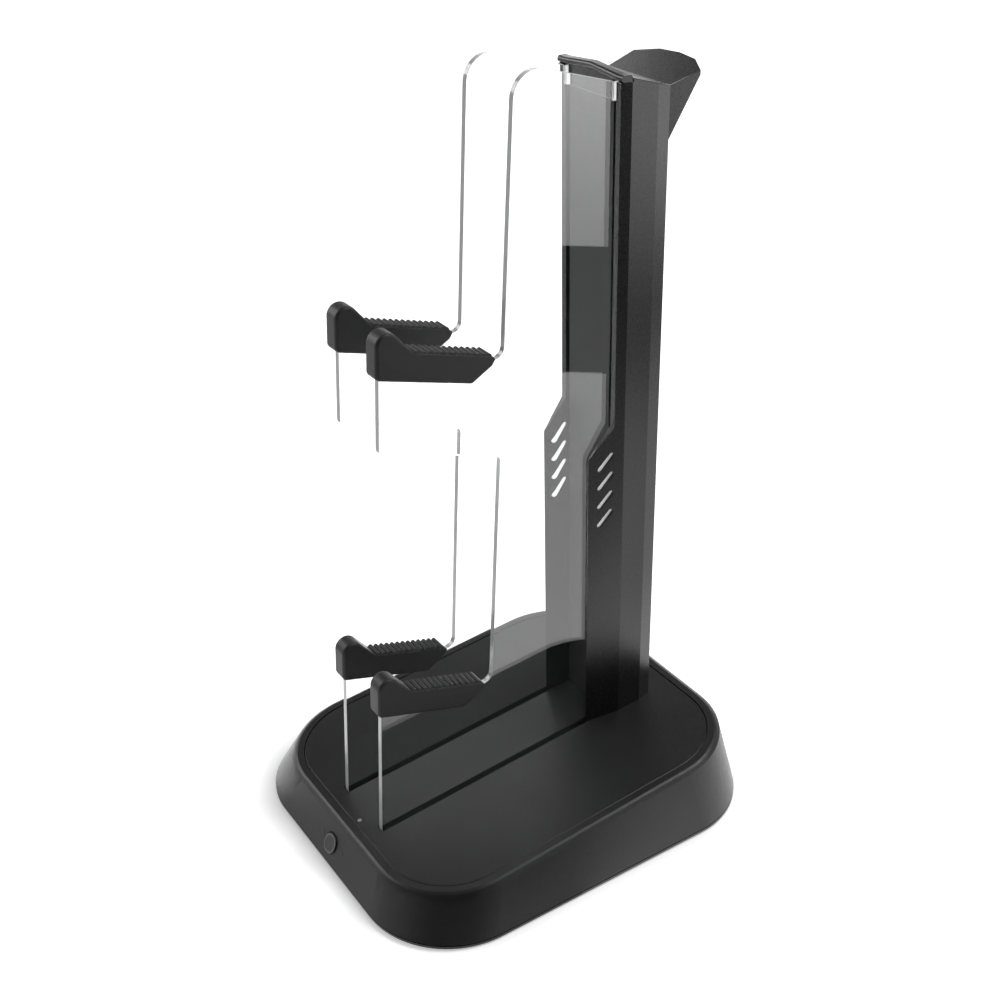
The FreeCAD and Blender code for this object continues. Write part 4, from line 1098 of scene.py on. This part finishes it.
world = bpy.data.worlds.new("white_surround")
bpy.context.scene.world = world
world.use_nodes = True
tree = world.node_tree
light_of_room = tree.nodes["Background"]
light_of_room.inputs["Color"].default_value = WHITE
light_of_room.inputs["Strength"].default_value = ROOM_LIGHT
white = add(tree, "ShaderNodeBackground", Color=WHITE, Strength=1.0)
choose = tree.nodes.new("ShaderNodeMixShader")
tree.links.new(seen_directly(tree), choose.inputs["Fac"])
tree.links.new(light_of_room.outputs["Background"], choose.inputs[1])
tree.links.new(white.outputs["Background"], choose.inputs[2])
tree.links.new(choose.outputs["Shader"], tree.nodes["World Output"].inputs["Surface"])


def softbox(name, place, size, power):
    """A square lamp aimed at the lower half of the stand."""
    lamp = bpy.data.lights.new(name, "AREA")
    lamp.shape = "SQUARE"
    lamp.size = size
    lamp.energy = power
    holder = bpy.data.objects.new(name, lamp)
    bpy.context.collection.objects.link(holder)
    holder.location = place
    holder.rotation_euler = (LAMP_AIM - Vector(place)).to_track_quat("-Z", "Y").to_euler()
    return holder


left_softbox = softbox("left_softbox", (-0.98, -0.66, 0.74), size=0.55, power=7.5)
left_softbox.visible_diffuse = False
softbox("back_softbox", (0.40, 0.75, 1.25), size=0.5, power=12.0)


# Camera: stands where the photograph was taken from, which was found by fitting the base, the
# panels and the column to it. Its lens is given in pixels of the square picture.
AZIMUTH = math.radians(57.32)
ELEVATION = math.radians(30.39)
ROLL = math.radians(-1.47)
LENS_PIXELS = 1448.3
PICTURE_PIXELS = 1000.0
SENSOR_WIDE = 36.0
CLIP_NEAR = 0.01
CAMERA_PLACE = Vector((0.43003, -0.27368, 0.44839))
level_back = Vector((math.sin(AZIMUTH), -math.cos(AZIMUTH), 0.0))
back = level_back * math.cos(ELEVATION) + Vector((0.0, 0.0, math.sin(ELEVATION)))
level_right = Vector((math.cos(AZIMUTH), math.sin(AZIMUTH), 0.0))
level_up = back.cross(level_right)
right = math.cos(ROLL) * level_right + math.sin(ROLL) * level_up
up = math.cos(ROLL) * level_up - math.sin(ROLL) * level_right
camera_data = bpy.data.cameras.new("camera")
camera_data.sensor_width = SENSOR_WIDE
camera_data.lens = LENS_PIXELS / PICTURE_PIXELS * SENSOR_WIDE
camera_data.clip_start = CLIP_NEAR
camera = bpy.data.objects.new("camera", camera_data)
bpy.context.collection.objects.link(camera)
facing = Matrix((right, up, back)).transposed().to_4x4()
camera.matrix_world = Matrix.Translation(CAMERA_PLACE) @ facing
bpy.context.scene.camera = camera
bpy.context.scene.view_settings.view_transform = "Standard"
